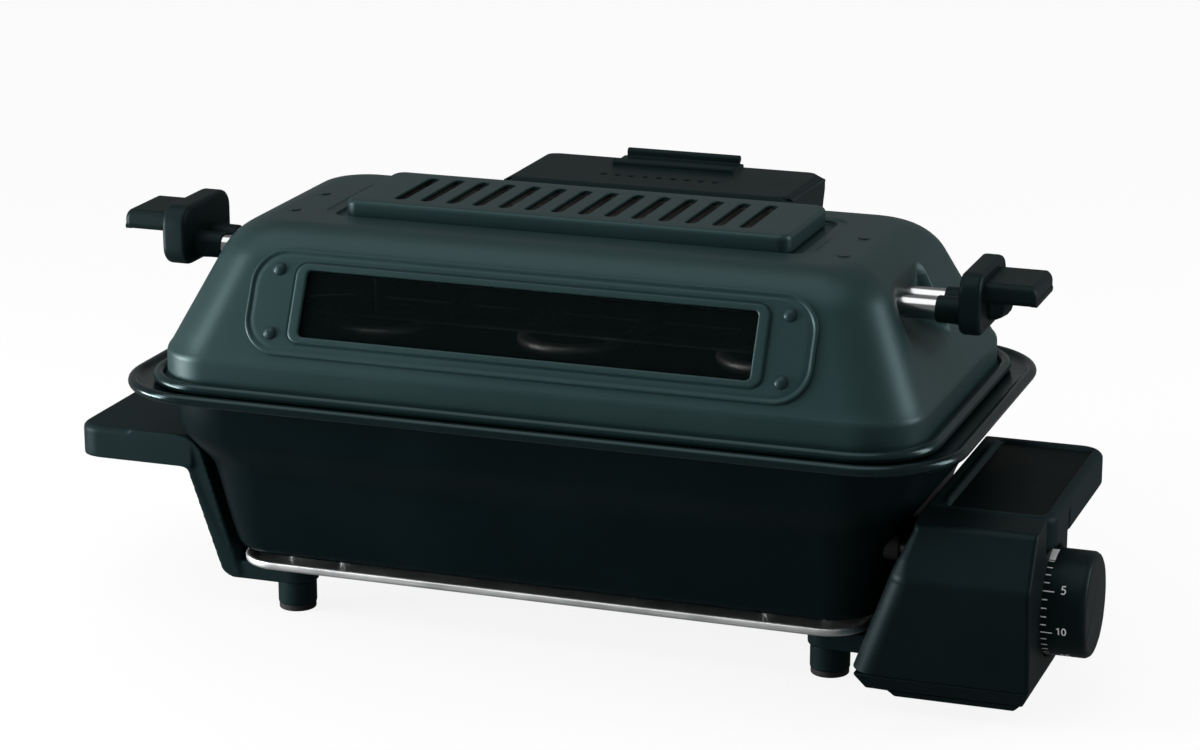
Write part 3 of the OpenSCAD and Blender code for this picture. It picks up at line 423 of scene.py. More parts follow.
def carved(mesh, *cutters):
    """A new mesh: this one less the cutters."""
    body = bpy.data.objects.new("body", mesh)
    scene.collection.objects.link(body)
    tools = []
    for cutter in cutters:
        tool = bpy.data.objects.new("tool", cutter)
        scene.collection.objects.link(tool)
        tools.append(tool)
        cut = body.modifiers.new("cut", "BOOLEAN")
        cut.object = tool
        cut.solver = "EXACT"
    graph = bpy.context.evaluated_depsgraph_get()
    result = bpy.data.meshes.new_from_object(body.evaluated_get(graph))
    for done in [body] + tools:
        bpy.data.objects.remove(done)
    return result


left_top_z = 90         # top of the left handle
handle_low_z = left_top_z - 16.5
arm_out_x = -189.6      # the arm's outer edge under the handle
foot_out_x = -174.2     # and at the foot bar
foot_z = 15             # underside of the foot bar
arm_front_y = -60
arm_t = 10              # thickness of the arm
arm_drift = 8.5         # how much nearer the middle the arm stands at its foot
# front end of the left handle, which turns down into the arm
arm_outline = rounded_path(
    [(-220, left_top_z), (-182.5, left_top_z), (-165.2, 19), (-165, foot_z), (foot_out_x, foot_z),
     (arm_out_x, handle_low_z), (-220, handle_low_z)], [13, 2, 0.5, 8, 4], 8)
arm_rings = []
for y in (arm_front_y, arm_front_y + arm_t):
    arm_rings.append([at(p.x, y + arm_drift * max(0, left_top_z - 10 - p.y) / (left_top_z - 25), p.y)
                      for p in arm_outline])
front_arm = loft("front_arm", arm_rings, True, True)
# what the round outer corner at the foot of the left arm leaves off, across the whole frame
foot_arc = rounded_path([(arm_out_x, handle_low_z), (foot_out_x, foot_z), (-160, foot_z)], [9], 8)[1:-1]
clear_z = foot_z - 7
corner_outline = foot_arc + [Vector((foot_arc[-1].x, clear_z)), Vector((-190, clear_z)),
                             foot_arc[0] - Vector((9, 2))]
corner_rings = [[at(p.x, y, p.y) for p in corner_outline] for y in (-130, 130)]
foot_corner = loft("foot_corner", corner_rings, True, True)
panel_low, panel_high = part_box("handle_panel")
right_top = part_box("right_frame")[1].z


def bar(name, low, high, radius):
    """A block with rounded upright corners between two points in metres."""
    middle = (low + high) / 2
    flat = rounded_rectangle((high.x - low.x) / 2, (high.y - low.y) / 2, radius, 4)
    rings = [[Vector((middle.x + x, middle.y + y, z)) for x, y in flat] for z in (low.z, high.z)]
    return loft(name, rings, True, True)


rib_low = Vector((panel_low.x - 0.0028, panel_low.y + 0.006, panel_low.z))
rib_high = Vector((panel_low.x - 0.0006, panel_high.y - 0.003, right_top + 0.0011))
rib = bar("rib", rib_low, rib_high, 0.001)
side_slot = bar("side_slot", at(246.8, -26.4, 79), at(253, -23.9, 89), 0.0002)
left_shells = [carved(cad_copy("left_frame"), foot_corner), front_arm]
right_shells = [carved(cad_copy("right_frame"), side_slot), rib]
for name, shells in (("left_frame", left_shells), ("right_frame", right_shells)):
    frame_piece = piece_of(name + "_moulding", joined(name, shells), stand_resin,
                           "base", "stand_resin", name)
    fuse(frame_piece, 0.0009, 5)
moulded("foot_posts", stand_resin, "base", "stand_resin", 0.0008)
moulded("foot_pads", rubber("pad_rubber"), "base", "foot_rubber", 0.0005)
dress(screw_steel, "frame_screws", "tub_spacers", "box_screws", "hinge_screws", "hinge_pins",
      "grip_screws", "dial_shaft")

# --------------------------------------------------------------------
# Tub: one deep steel pressing with a step for the net, a level flange and a rolled edge, in
# dark semi-gloss enamel.


def ring(half_w, half_d, radius, z, steps=14, middle_y=0):
    """A rounded rectangle on the level, in millimetres from the middle of the tub."""
    return [at(x, middle_y + y, z) for x, y in rounded_rectangle(half_w, half_d, radius, steps)]


def enamel(name, colour, rough, peel, shine=0.12):
    """Stoved enamel: a smooth dark film with faint orange peel."""
    material, place = begin(name)
    peel_waves = noise(place, peel, 2)
    cloud = noise(place, 0.05, 3)
    fine = noise(place, 0.0006, 3)
    worn = edges(place, 0.0006)
    tone = (cloud * 0.5 + fine * 0.25 + worn * 0.4).clamped(0.2, 1.0)
    shade(place, {"Base Color": tone.blend(rgb(*colour), rgb(*[c * 2 for c in colour])),
                  "Roughness": rough + (cloud - 0.5) * 0.12 + (fine - 0.5) * 0.06,
                  "Specular IOR Level": shine, "Specular Tint": cool_tint,
                  "Normal": bump(peel_waves, 0.12, 0.00012)})
    return material


tub_half_w = (tub_high.x - tub_low.x) * 500
tub_half_d = (tub_high.y - tub_low.y) * 500
flange_z = tub_high.z * 1000
tub_floor_z = tub_low.z * 1000
tub_t = 1.2
wall_in = 18.5          # wall inside the flange's outer edge
bead_r = 2.7            # rolled edge of the flange


def smooth_rows(rows, steps=4):
    """More rows between these, on a curve that passes through them all."""
    result = []
    for k in range(len(rows) - 1):
        before, first = rows[max(k - 1, 0)], rows[k]
        second, after = rows[k + 1], rows[min(k + 2, len(rows) - 1)]
        for j in range(steps):
            t = j / steps
            result.append([
                0.5 * (2 * b + (c - a) * t + (2 * a - 5 * b + 4 * c - d) * t * t
                       + (3 * b - a - 3 * c + d) * t ** 3)
                for a, b, c, d in zip(before, first, second, after)])
    return result + [list(rows[-1])]


# outside of the wall from the flange down: height, inset from the flange's edge, corner radius
tub_wall = smooth_rows([
    (119, 18.5, 40), (110, 18.9, 40), (101, 20, 40), (97, 21.6, 39.5), (92, 25, 38), (88, 28, 37),
    (83, 31.4, 36), (78, 33.8, 34), (70, 36.2, 31), (60, 38.8, 28), (50, 41.2, 26), (42, 43.2, 25),
    (38, 44.6, 24), (35.5, 47, 22), (34.2, 51, 20), (33, 57, 16)])
tub_inside = [(max(z, tub_floor_z + tub_t), inset + tub_t, r - tub_t)
              for z, inset, r in reversed(tub_wall)]


def tub_ring(z, inset, corner):
    return ring(tub_half_w - inset, tub_half_d - inset, corner, z)


flange_r = 46           # corner radius of the flange's outer edge
shelf = [(122, wall_in + tub_t, 39), (123.6, wall_in + 0.8, 39.7), (124.5, wall_in - 0.6, 41),
         (124.7, 16, 42), (124.7, 6.5, 40)]
bead = [(flange_z - bead_r + bead_r * math.sin(math.radians(a)),
         bead_r - bead_r * math.cos(math.radians(a)),
         flange_r - bead_r + bead_r * math.cos(math.radians(a)))
        for a in range(150, -151, -20)]
lip = [(123.2, 6.5, 40), (121.6, 7, 39.5), (121.6, wall_in - 1, 41), (121, wall_in - 0.1, 40.1)]
tub_rings = [tub_ring(*row) for row in tub_inside + shelf + bead + lip + tub_wall]
tub_enamel = enamel("tub_enamel", (0.0014, 0.004, 0.0045), 0.32, 0.004, 0.07)
tub_piece = piece_of("tub_pressing", loft("tub", tub_rings, True, True), tub_enamel,
                     "base", "tub_enamel", "tub")
shade_evenly(tub_piece)
tub_piece.data.materials.append(enamel("flange_enamel", (0.0022, 0.0055, 0.006), 0.19, 0.004, 0.3))
wall_top = at(0, 0, 121)
for face in tub_piece.data.polygons:
    face.material_index = int(face.center.z > wall_top.z)

# --------------------------------------------------------------------
# In the tub: a loose enamelled drip tray, the lower heater on two folded straps with ceramic
# bushes at its ends, and the plated net on the tub's step. The same strap steel and ceramic
# are used on the hidden parts in the lid and in the control box. That ceramic is painted near
# black: painted shade, for where the bushes' ends sit deep in the box's openings.
tray_enamel = enamel("tray_enamel", (0.014, 0.017, 0.018), 0.4, 0.003)
moulded("drip_tray", tray_enamel, "base", "tray_enamel", 0.0005, 2)


def heater_sheath(name, dark, light):
    """Nickel steel tube dulled by heat, with straw and blue clouds along it."""
    material, place = begin(name)
    heat = noise(place, 0.018, 3)
    scale = noise(place, 0.0007, 4)
    tone = heat.clamped(0.35, 0.7).blend(dark, light)
    shade(place, {"Base Color": (scale * 0.5).blend(tone, rgb(0.16, 0.12, 0.08)), "Metallic": 0.9,
                  "Roughness": 0.42 + (scale - 0.5) * 0.3,
                  "Normal": bump(scale, 0.3, 0.0001)})
    return material


def ceramic(name, dark, light, pore):
    material, place = begin(name)
    pores = noise(place, pore, 4)
    cloud = noise(place, 0.01, 2)
    shade(place, {"Base Color": (pores * 0.6 + cloud * 0.4).clamped(0.3, 0.7).blend(dark, light),
                  "Roughness": 0.68 + (pores - 0.5) * 0.3,
                  "Normal": bump(pores, 0.5, pore * 0.2)})
    return material


strap_steel = sheet_steel("strap_steel", rgb(0.35, 0.35, 0.34), rgb(0.58, 0.58, 0.57), 0.38)
net_chrome = sheet_steel("net_plate", rgb(0.4, 0.4, 0.41), rgb(0.56, 0.56, 0.57), 0.2, (4, 4, 4))
# near black: painted shade on the bushes' ends in the box's openings
gland_ceramic = ceramic("gland_ceramic", rgb(0.006, 0.006, 0.0055), rgb(0.016, 0.015, 0.013),
                        0.0006)
dress(heater_sheath("lower_sheath", rgb(0.1, 0.1, 0.11), rgb(0.22, 0.2, 0.16)), "lower_heater")
dress(strap_steel, "lower_heater_clips", "upper_heater_clips", "rod_brackets", "filter_cage")
dress(gland_ceramic, "heater_gland", "terminal_block")
dress(net_chrome, "grill_net")

# --------------------------------------------------------------------
# Control box: a moulded cover and bottom under the right handle, with the clockwork timer, its
# bell, the terminal block, leads and fuse inside. The plain panel is let into the handle's top.
box_resin = resin("box_resin", (0.0013, 0.004, 0.0045), 0.00028, 0.47, 0.12)
box_out_x = 246.5
box_back_y = -16.3
box_neck_y = -62        # back of the part that stands up in front of the handle
box_neck_z = 78.2
box_seam_z = 20.5
dial_y = -43
dial_z = 50
box_front = rounded_path([(-90.5, box_seam_z), (-95, 69.5), (-81.2, 93.6), (-62.4, 95)], [7, 5], 8)
box_left = rounded_path([(163, box_seam_z), (181.5, 70), (184.5, 78), (188.6, 90), (188.8, 96)],
                        [12, 4, 6], 6)
left_out = 2            # how far the left wall swells below the handle


def level_with(path, z):
    """Where a rising path stands at height z."""
    for low, high in zip(path, path[1:]):
        if low.y <= z <= high.y:
            return low.x + (high.x - low.x) * (z - low.y) / max(high.y - low.y, 1e-6)
    return path[-1].x


def box_ring(x0, x1, y0, y1, z, radii, steps=8):
    """A level rectangle with a radius for its back right, back left, front left and front right."""
    points = []
    for quarter, radius in enumerate(radii):
        radius = min(radius, (y1 - y0) / 2.02)
        x = x1 - radius if quarter in (0, 3) else x0 + radius
        y = y1 - radius if quarter < 2 else y0 + radius
        for k in range(steps + 1):
            angle = math.radians(90 * (quarter + k / steps))
            points.append(at(x + radius * math.cos(angle), y + radius * math.sin(angle), z))
    return points


def grows(low, high, value):
    """0 at low and 1 at high, straight between."""
    return min(1, max(0, (value - low) / (high - low)))


cover_rings = []
heights = sorted({round(p.y, 3) for p in box_front} | {round(p.y, 3) for p in box_left if p.y < 95}
                 | {box_neck_z, box_seam_z + 0.5, box_seam_z + 1.2})
for z in heights:
    foot_in = 0.5 * grows(box_seam_z + 0.5, box_seam_z, z)
    top_in = 0.9 * max(0, (z - 93.4) / 1.6) ** 2
    left_x = level_with(box_left, z) - left_out * grows(84, 74, z) + foot_in
    right_x = box_out_x - foot_in - top_in
    front_y = level_with(box_front, z) + foot_in
    front_left_r = 3.5 + 9 * grows(82, 66, z)
    backs = [box_back_y] if z <= box_neck_z else []
    backs += [box_neck_y] if z >= box_neck_z else []
    for back_y in backs:
        cover_rings.append(box_ring(left_x, right_x, front_y, back_y, z, (1, 1, front_left_r, 2.2)))
# the cover is hollow: its skin turns in at the seam and runs up inside
inner_rings = []
for z in (box_seam_z, 45, 68, 75.5):
    inner_rings.append(box_ring(level_with(box_left, z) + 3.2, box_out_x - 2.6,
                                level_with(box_front, z) + 2.8, box_back_y - 2.4, z, (1, 1, 4, 1)))


def turned(name, profile, centre, steps=64):
    """A mesh turned about a line along X: the profile holds distances out and along from centre."""
    angles = [math.tau * k / steps for k in range(steps)]
    rings = []
    for radius, along in profile:
        rings.append([at(centre[0] + along, centre[1] + radius * math.cos(a),
                         centre[2] + radius * math.sin(a)) for a in angles])
    return loft(name, rings, True, True)


cover_mesh = loft("control_cover", list(reversed(inner_rings)) + cover_rings, True, True)
recess_profile = [(26, 240), (26, 244.6), (26.4, 245.7), (27.4, 246.5), (27.4, 252)]
recess = turned("recess", recess_profile, (0, dial_y, dial_z), 96)
cover_piece = piece_of("control_cover_moulding", carved(cover_mesh, recess), box_resin,
                       "base", "box_resin", "control_cover")
shade_evenly(cover_piece, 32)
moulded("control_bottom", box_resin, "base", "box_resin", 0.0008)
panel_resin = resin("panel_resin", (0.0015, 0.0035, 0.0036), 0.00018, 0.42, 0.025)
panel_piece = moulded("handle_panel", panel_resin, "base", "panel_resin", 0.0003, 2)
panel_sunk = 0.0008     # how far the panel's face is let down
for vert in panel_piece.data.vertices:
    vert.co.z -= panel_sunk * (vert.co.z > panel_high.z - 0.0006)
dress(resin("timer_case", (0.5, 0.46, 0.36), 0.0004, 0.45, 0.5), "timer_unit")
bell_steel = sheet_steel("bell_steel", rgb(0.5, 0.5, 0.51), rgb(0.7, 0.7, 0.71), 0.2, (8, 1, 1))
dress(bell_steel, "timer_bell")
dress(ceramic("glass_sleeve", rgb(0.6, 0.57, 0.48), rgb(0.8, 0.78, 0.7), 0.0004), "lead_wires")
dress(ceramic("fuse_case", rgb(0.6, 0.58, 0.52), rgb(0.75, 0.74, 0.7), 0.0008), "thermal_fuse")
moulded("cord_bush", rubber("bush_rubber"), "base", "bush_rubber", 0.0004, 2)

# --------------------------------------------------------------------
# Hinge: a pressed steel back plate, screwed down on the heat shield and painted dark, with a
# lug at each side for the pin that the lid turns on.
bracket_paint = enamel("bracket_paint", (0.009, 0.014, 0.014), 0.45, 0.003)
moulded("hinge_bracket", bracket_paint, "base", "bracket_paint", 0.0004, 2)

# --------------------------------------------------------------------
# Timer dial: a smooth turned-looking resin knob, chamfered at its face, with white minute marks
# and plain numbers printed round its side.
dial_resin = resin("dial_resin", (0.0025, 0.0055, 0.006), 0.0002, 0.4, 0.1)
dial_ink, place = begin("dial_ink")
speckle = noise(place, 0.0002, 3)
ink_tone = speckle.clamped(0.2, 0.6).blend(rgb(0.45, 0.47, 0.47), rgb(0.72, 0.74, 0.74))
shade(place, {"Base Color": ink_tone, "Roughness": 0.5 + (speckle - 0.5) * 0.2,
              "Normal": bump(speckle, 0.2, 0.00003)})
dial_r = 25.06
minute = 9.1            # degrees that the dial turns in a minute
start_angle = 74.3      # where the minutes start, up from the front
round_angles = [math.tau * k / 16 for k in range(17)]
digit_strokes = {
    "0": [(0.31 + 0.22 * math.cos(a), 0.5 + 0.43 * math.sin(a)) for a in round_angles],
    "1": [(0.14, 0.77), (0.36, 0.93), (0.36, 0.06)],
    "2": [(0.08, 0.74), (0.14, 0.88), (0.3, 0.94), (0.46, 0.87), (0.51, 0.71), (0.44, 0.54),
          (0.09, 0.08), (0.55, 0.08)],
    "3": [(0.1, 0.84), (0.2, 0.92), (0.34, 0.94), (0.47, 0.86), (0.5, 0.71), (0.41, 0.57),
          (0.26, 0.53), (0.44, 0.46), (0.53, 0.3), (0.47, 0.14), (0.32, 0.06), (0.17, 0.08),
          (0.07, 0.17)],
    "5": [(0.52, 0.93), (0.15, 0.93), (0.12, 0.53), (0.28, 0.6), (0.43, 0.55), (0.53, 0.41),
          (0.52, 0.23), (0.43, 0.1), (0.28, 0.05), (0.08, 0.12)]}


def on_dial(along, up, angle):
    """A point on the dial's side: along it from the back, and up from an angle to the front."""
    a = math.radians(angle) + up / dial_r
    return at(along, dial_y - dial_r * math.cos(a), dial_z + dial_r * math.sin(a))


def stroke(bm, path, width, angle):
    """A printed line of a set width along a path on the dial's side."""
    spots = [Vector(path[0])]
    for first, second in zip(path, path[1:]):
        steps = math.ceil((Vector(second) - Vector(first)).length / 0.7)
        spots += [Vector(first).lerp(Vector(second), (k + 1) / steps) for k in range(steps)]
    sides = []
    for k, spot in enumerate(spots):
        run = (spots[min(k + 1, len(spots) - 1)] - spots[max(k - 1, 0)]).normalized()
        across = Vector((-run.y, run.x)) * width / 2
        sides.append([bm.verts.new(on_dial(spot.x + s * across.x, spot.y + s * across.y, angle))
                      for s in (-1, 1)])
    for (a, b), (c, d) in zip(sides, sides[1:]):
        bm.faces.new((b, a, c, d))


tick_x = (245.4, 248.6, 251.4)      # where ticks start, and where short and long ones end
digit_x = 255.5         # middle of the numbers
digit_h = 4.1
digit_shift = 2.8       # degrees from a tick to the middle of its number
bm = bmesh.new()
for k in range(1, 31):
    angle = start_angle - minute * k
    stroke(bm, [(tick_x[0], 0), (tick_x[2] if k % 5 == 0 else tick_x[1], 0)], 0.5, angle)
    if k % 5 == 0:
        text = str(k)
        pen_x = digit_x - 0.62 * digit_h * len(text) / 2
        for digit in text:
            path = [(pen_x + u * digit_h, (v - 0.5) * digit_h) for u, v in digit_strokes[digit]]
            stroke(bm, path, 0.56, angle + digit_shift)
            pen_x += 0.64 * digit_h
start_mark = [(247.1, -6 + 1.5 * k) for k in range(8)]
stroke(bm, start_mark, 3.4, 81)
print_mesh = bpy.data.meshes.new("dial_print")
bm.to_mesh(print_mesh)
bm.free()
dial_mesh = cad_copy("timer_dial")
plain_faces = len(dial_mesh.polygons)
dial_piece = piece_of("timer_dial_piece", joined("timer_dial", [dial_mesh, print_mesh]),
                      dial_resin, "dial", "dial_resin", "timer_dial")
dial_piece.data.materials.append(dial_ink)
for face in dial_piece.data.polygons:
    face.material_index = int(face.index >= plain_faces)
soften(dial_piece, 0.0005, 3, 25)

# --------------------------------------------------------------------
# Lid: one pressed steel shell in satin heat-resistant paint, with a hole for the window in its
# sloping front wall, a flat pad in each end for the rods, and a shallow pan round the vent.


def lid_coat(name, colour, rough):
    """Satin heat-resistant paint: fine mica sparkle, soft clouds and slightly paler edges."""
    material, place = begin(name)
    fine = noise(place, 0.00045, 3)
    cloud = noise(place, 0.06, 3)
    worn = edges(place, 0.0008)
    tone = (fine * 0.4 + cloud * 0.35 + worn * 0.5).clamped(0.2, 1.0)
    shade(place, {"Base Color": tone.blend(rgb(*colour), rgb(*[c * 1.5 for c in colour])),
                  "Roughness": rough + (fine - 0.5) * 0.16 + (cloud - 0.5) * 0.1,
                  "Specular IOR Level": 0.26, "Specular Tint": cool_tint,
                  "Normal": bump(fine, 0.25, 0.00007)})
    return material


lid_paint = lid_coat("lid_paint", (0.0105, 0.0245, 0.0248), 0.4)
lid_half_w = 190.5
lid_half_d = 96.5
lid_top_z = 203
window_z = 170          # middle of the window on the sloping wall
window_cut = (115.5, 18.25)     # half width and half height of the hole
wall_foot_z = 142
wall_lean = math.atan(22 / 46)  # it leans in 22 mm over 46 mm of height
cut_low_z = window_z - window_cut[1] * math.cos(wall_lean)
cut_high_z = window_z + window_cut[1] * math.cos(wall_lean)
vent_y = 1.5            # the vent and its pan stand a little behind the middle

# from the foot up: inset from the wall's foot, and height
lid_side = rounded_path([(-1.4, 127.1), (0, 128.4), (0.2, 141), (23, 188)], [2, 7], 6)
lid_heights = [(p.x, p.y) for p in lid_side[:-1]]
lid_heights += [(1 + (z - wall_foot_z) * math.tan(wall_lean), z)
                for z in sorted([144.5 + 2.8 * k for k in range(16)] + [cut_low_z, cut_high_z])]
# ends and handles of the curve from the wall over to the level top
crown = [(23, 188), (26.9, 196.1), (36.5, 202.9), (46, lid_top_z)]
for k in range(13):
    t = k / 12
    weights = ((1 - t) ** 3, 3 * t * (1 - t) ** 2, 3 * t * t * (1 - t), t ** 3)
    lid_heights.append(tuple(sum(w * c[i] for w, c in zip(weights, crown)) for i in range(2)))
corner_radii = [(-2, 30), (1, 30), (23, 25.5), (26, 24.5), (30, 22.5), (35, 20), (40.5, 18),
                (46, 16)]


def corner_radius(inset):
    """The lid's corner radius where its outline is this far inside the foot."""
    for (x0, r0), (x1, r1) in zip(corner_radii, corner_radii[1:]):
        if x0 <= inset <= x1:
            return r0 + (r1 - r0) * (inset - x0) / (x1 - x0)
    return corner_radii[-1][1]


def soft_step(low, high, value):
    """0 at low and 1 at high, level at both."""
    t = grows(low, high, value)
    return t * t * (3 - 2 * t)


def lid_ring_points(half_w, half_d, radius, z, middle_y=0, corner=16, front=(8, 30), side=44):
    """A level ring of the lid, with columns that stand at the window's ends."""
    run_x = half_w - radius
    run_y = half_d - radius
    mark = min(window_cut[0], run_x * 0.93)
    flat = []
    for quarter in range(4):
        sx = 1 if quarter in (0, 3) else -1
        sy = 1 if quarter < 2 else -1
        for k in range(corner + 1):
            a = math.radians(90 * (quarter + k / corner))
            flat.append((sx * run_x + radius * math.cos(a), sy * run_y + radius * math.sin(a)))
        if quarter % 2 == 0:
            stops = [run_x + (mark - run_x) * k / front[0] for k in range(1, front[0] + 1)]
            stops += [mark - 2 * mark * k / front[1] for k in range(1, front[1])]
            stops += [-mark + (mark - run_x) * k / front[0] for k in range(front[0])]
            flat += [(sy * x, sy * half_d) for x in stops]
        else:
            flat += [(sx * half_w, -sx * run_y * (1 - 2 * k / side)) for k in range(1, side)]
    return [(x, middle_y + y, z) for x, y in flat]


def press_pads(point):
    """Presses the flat pads for the rods into the lid's ends."""
    x, y, z = point
    pad_x = 164             # how far out the pads stand
    if abs(x) <= pad_x or z < 150:
        return point
    across = soft_step(-50, -25, y) * (1 - soft_step(8.2, 10.6, y))
    up = soft_step(157, 173, z)
    return math.copysign(abs(x) - (abs(x) - pad_x) * across * up, x), y, z


lid_rings = []
for inset, z in lid_heights:
    loop = lid_ring_points(lid_half_w - inset, lid_half_d - inset, corner_radius(inset), z)
    lid_rings.append([press_pads(q) for q in loop])
# the level top and the shallow pan round the vent: half width, half depth, corner radius, height
pan_rows = [(125.4, 37.4, 11.4, 203), (124.7, 36.7, 10.7, 202.85), (124.1, 36.2, 10.2, 202.45),
            (123.2, 35.9, 9.6, 202.3), (119.4, 35.5, 7.6, 202.3), (118.8, 35.2, 7.2, 202),
            (118.5, 35, 7, 201), (117.6, 34.4, 6.6, 200.4), (99.5, 27.4, 5.8, 200.4),
            (98.6, 26.6, 5.1, 200.1), (98.5, 26.5, 5, 198)]
for half_w, half_d, radius, z in pan_rows:
    lid_rings.append(lid_ring_points(half_w, half_d, radius, z, vent_y))
lid_mesh = loft("lid_shell", [[at(*q) for q in points] for points in lid_rings])
bm = bmesh.new()
bm.from_mesh(lid_mesh)
behind_window = []
for face in bm.faces:
    spot = face.calc_center_median()
    if (spot.y < at(0, -60, 0).y and abs(spot.x - tub_middle.x) < window_cut[0] / 1000
            and cut_low_z / 1000 < spot.z < cut_high_z / 1000):
        behind_window.append(face)
bmesh.ops.delete(bm, geom=behind_window, context="FACES")
bm.to_mesh(lid_mesh)
bm.free()
lid_piece = piece_of("lid_pressing", lid_mesh, lid_paint, "lid", "lid_paint", "lid_shell")
skin = lid_piece.modifiers.new("sheet", "SOLIDIFY")
skin.thickness = 0.001
skin.offset = -1
shade_evenly(lid_piece)

# --------------------------------------------------------------------
# Ring round the lid's foot: steel rolled to a round section, in darker and glossier paint than
# the shell. The closed lid rests on the tub's flange with it.
ring_low, ring_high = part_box("lid_ring")
tube_r = (ring_high.z - ring_low.z) * 500
ring_half_w = (ring_high.x - ring_low.x) * 500
ring_half_d = (ring_high.y - ring_low.y) * 500
ring_corner_r = 37
ring_loops = []
for k in range(20):
    a = math.tau * k / 20
    out = tube_r * math.cos(a) - tube_r
    z = ring_low.z * 1000 + tube_r + tube_r * math.sin(a)
    ring_loops.append(ring(ring_half_w + out, ring_half_d + out, ring_corner_r + out, z, 18))
ring_paint = lid_coat("ring_paint", (0.005, 0.0125, 0.013), 0.22)
ring_mesh = loft("lid_ring", ring_loops + ring_loops[:1])
piece_of("lid_ring_tube", ring_mesh, ring_paint, "lid", "ring_paint", "lid_ring")

# --------------------------------------------------------------------
# Window: a pane of dark glass between a pressed frame on the sloping wall and a retainer behind
# it, held by four rivets. The bends of the upper heater show through it.
wall_y = lid_half_d - 1 - (window_z - wall_foot_z) * math.tan(wall_lean)
across_wall = Vector((1, 0, 0))
up_wall = Vector((0, math.sin(wall_lean), math.cos(wall_lean)))
off_wall = across_wall.cross(up_wall)


def on_wall(x, y, out):
    """A point on the sloping front wall: across, up the wall and out from it, in millimetres."""
    return at(0, -wall_y, window_z) + (across_wall * x + up_wall * y + off_wall * out) / 1000


# half width, half height, corner radius and height off the wall, from the outer edge to the glass
frame_form = [(141.5, 26.2, 18, 0.03), (141.5, 26.2, 18, 1.0), (141.3, 26, 17.8, 1.45),
              (140.8, 25.5, 17.4, 1.7), (140.2, 24.9, 17, 1.7), (139.7, 24.4, 16.6, 1.45),
              (139.3, 24, 16.3, 0.95), (138.7, 23.4, 16, 0.8), (137.7, 22.8, 15.6, 1.15),
              (136, 22, 15, 1.2), (119.8, 20.75, 7.6, 1.2), (119, 20.4, 7, 1.0),
              (118.7, 20.1, 6.6, 0.75), (118.4, 19.8, 6.2, 0.9), (118.2, 19.6, 6, 1.8),
              (117.8, 19.3, 5.8, 2.25), (117, 18.8, 5.4, 2.4), (113.6, 17.2, 3.4, 2.4),
              (112.8, 16.5, 2.8, 2.2), (112.5, 16.25, 2.5, 1.7), (112.5, 16.25, 2.5, 0.03)]
frame_rings = [[on_wall(x, y, out) for x, y in rounded_rectangle(half_w, half_h, r, 14)]
               for half_w, half_h, r, out in frame_form]
frame_mesh = loft("window_frame", frame_rings + frame_rings[:1])
frame_piece = piece_of("window_frame_pressing", frame_mesh, lid_paint,
                       "lid", "lid_paint", "window_frame")
shade_evenly(frame_piece)
dress(lid_coat("rivet_paint", (0.008, 0.018, 0.0185), 0.38), "window_rivets", "top_rivets")
retainer_enamel = enamel("retainer_enamel", (0.014, 0.017, 0.018), 0.4, 0.003)
moulded("window_retainer", retainer_enamel, "lid", "tray_enamel", 0.0003, 2)

pane_glass, place = begin("pane_glass")
film = noise(place, 0.02, 3)
shade(place, {"Base Color": film.blend(rgb(0.0012, 0.003, 0.003), rgb(0.002, 0.005, 0.005)),
              "Roughness": 0.05 + film * 0.06, "Specular IOR Level": 0.12,
              "Alpha": 0.5 + (film - 0.5) * 0.08})
dress(pane_glass, "window_glass")
# The upper heater's sheath is far paler than the lower heater's: a painted highlight, so its bends show
# lit through the dark glass.
dress(heater_sheath("upper_sheath", rgb(0.6, 0.62, 0.6), rgb(0.8, 0.8, 0.78)), "upper_heater")

# --------------------------------------------------------------------
# Lid handles: two polished steel rods at each end carry a moulded resin grip, with a heat plate,
# a sleeve on each rod, a flat paddle for the hand and a fluted rib under it.
rod_chrome, place = begin("rod_chrome")
turning = noise(place, 0.0003, 2, (1, 40, 40))
shade(place, {"Base Color": turning.blend(rgb(0.42, 0.43, 0.43), rgb(0.55, 0.56, 0.56)),
              "Metallic": 1.0, "Roughness": 0.16 + turning * 0.06,
              "Normal": bump(turning, 0.1, 0.00003)})
dress(rod_chrome, "handle_rods")

handle_resin = resin("handle_resin", (0.0035, 0.0075, 0.008), 0.0003, 0.44, 0.09)
grip_in_x = 196         # the heat plate's two faces
grip_out_x = 206
tip_x = 231             # end of the paddle
grip_middle_y = -12.5
plate_half = (27, 14.95)
plate_r = 9.5
plate_z = 185.25
paddle_half = (18.5, 5)
paddle_r = 3.6
paddle_z = 190.3
lip_half = (17.4, 1.3)  # thin edge under the end of the paddle
lip_r = 1.2
lip_z = 186.7
rod_y = -13.35          # between the two rods
rod_z = 179
rod_apart = 17
round_steps = [math.tau * k / 40 for k in range(40)]
# height and radius of the fluted rib under the paddle
rib_form = [(186, 10.4), (182, 10.2), (179, 9.3), (176.5, 7.4), (174.6, 4.6), (173.8, 1.5)]
flute_depth = 0.55


def upright(x, half_y, half_z, radius, middle_z, side, steps=8):
    """A rounded rectangle standing across the X direction."""
    flat = rounded_rectangle(half_y, half_z, radius, steps)
    return [at(side * x, grip_middle_y + y, middle_z + z) for y, z in flat]


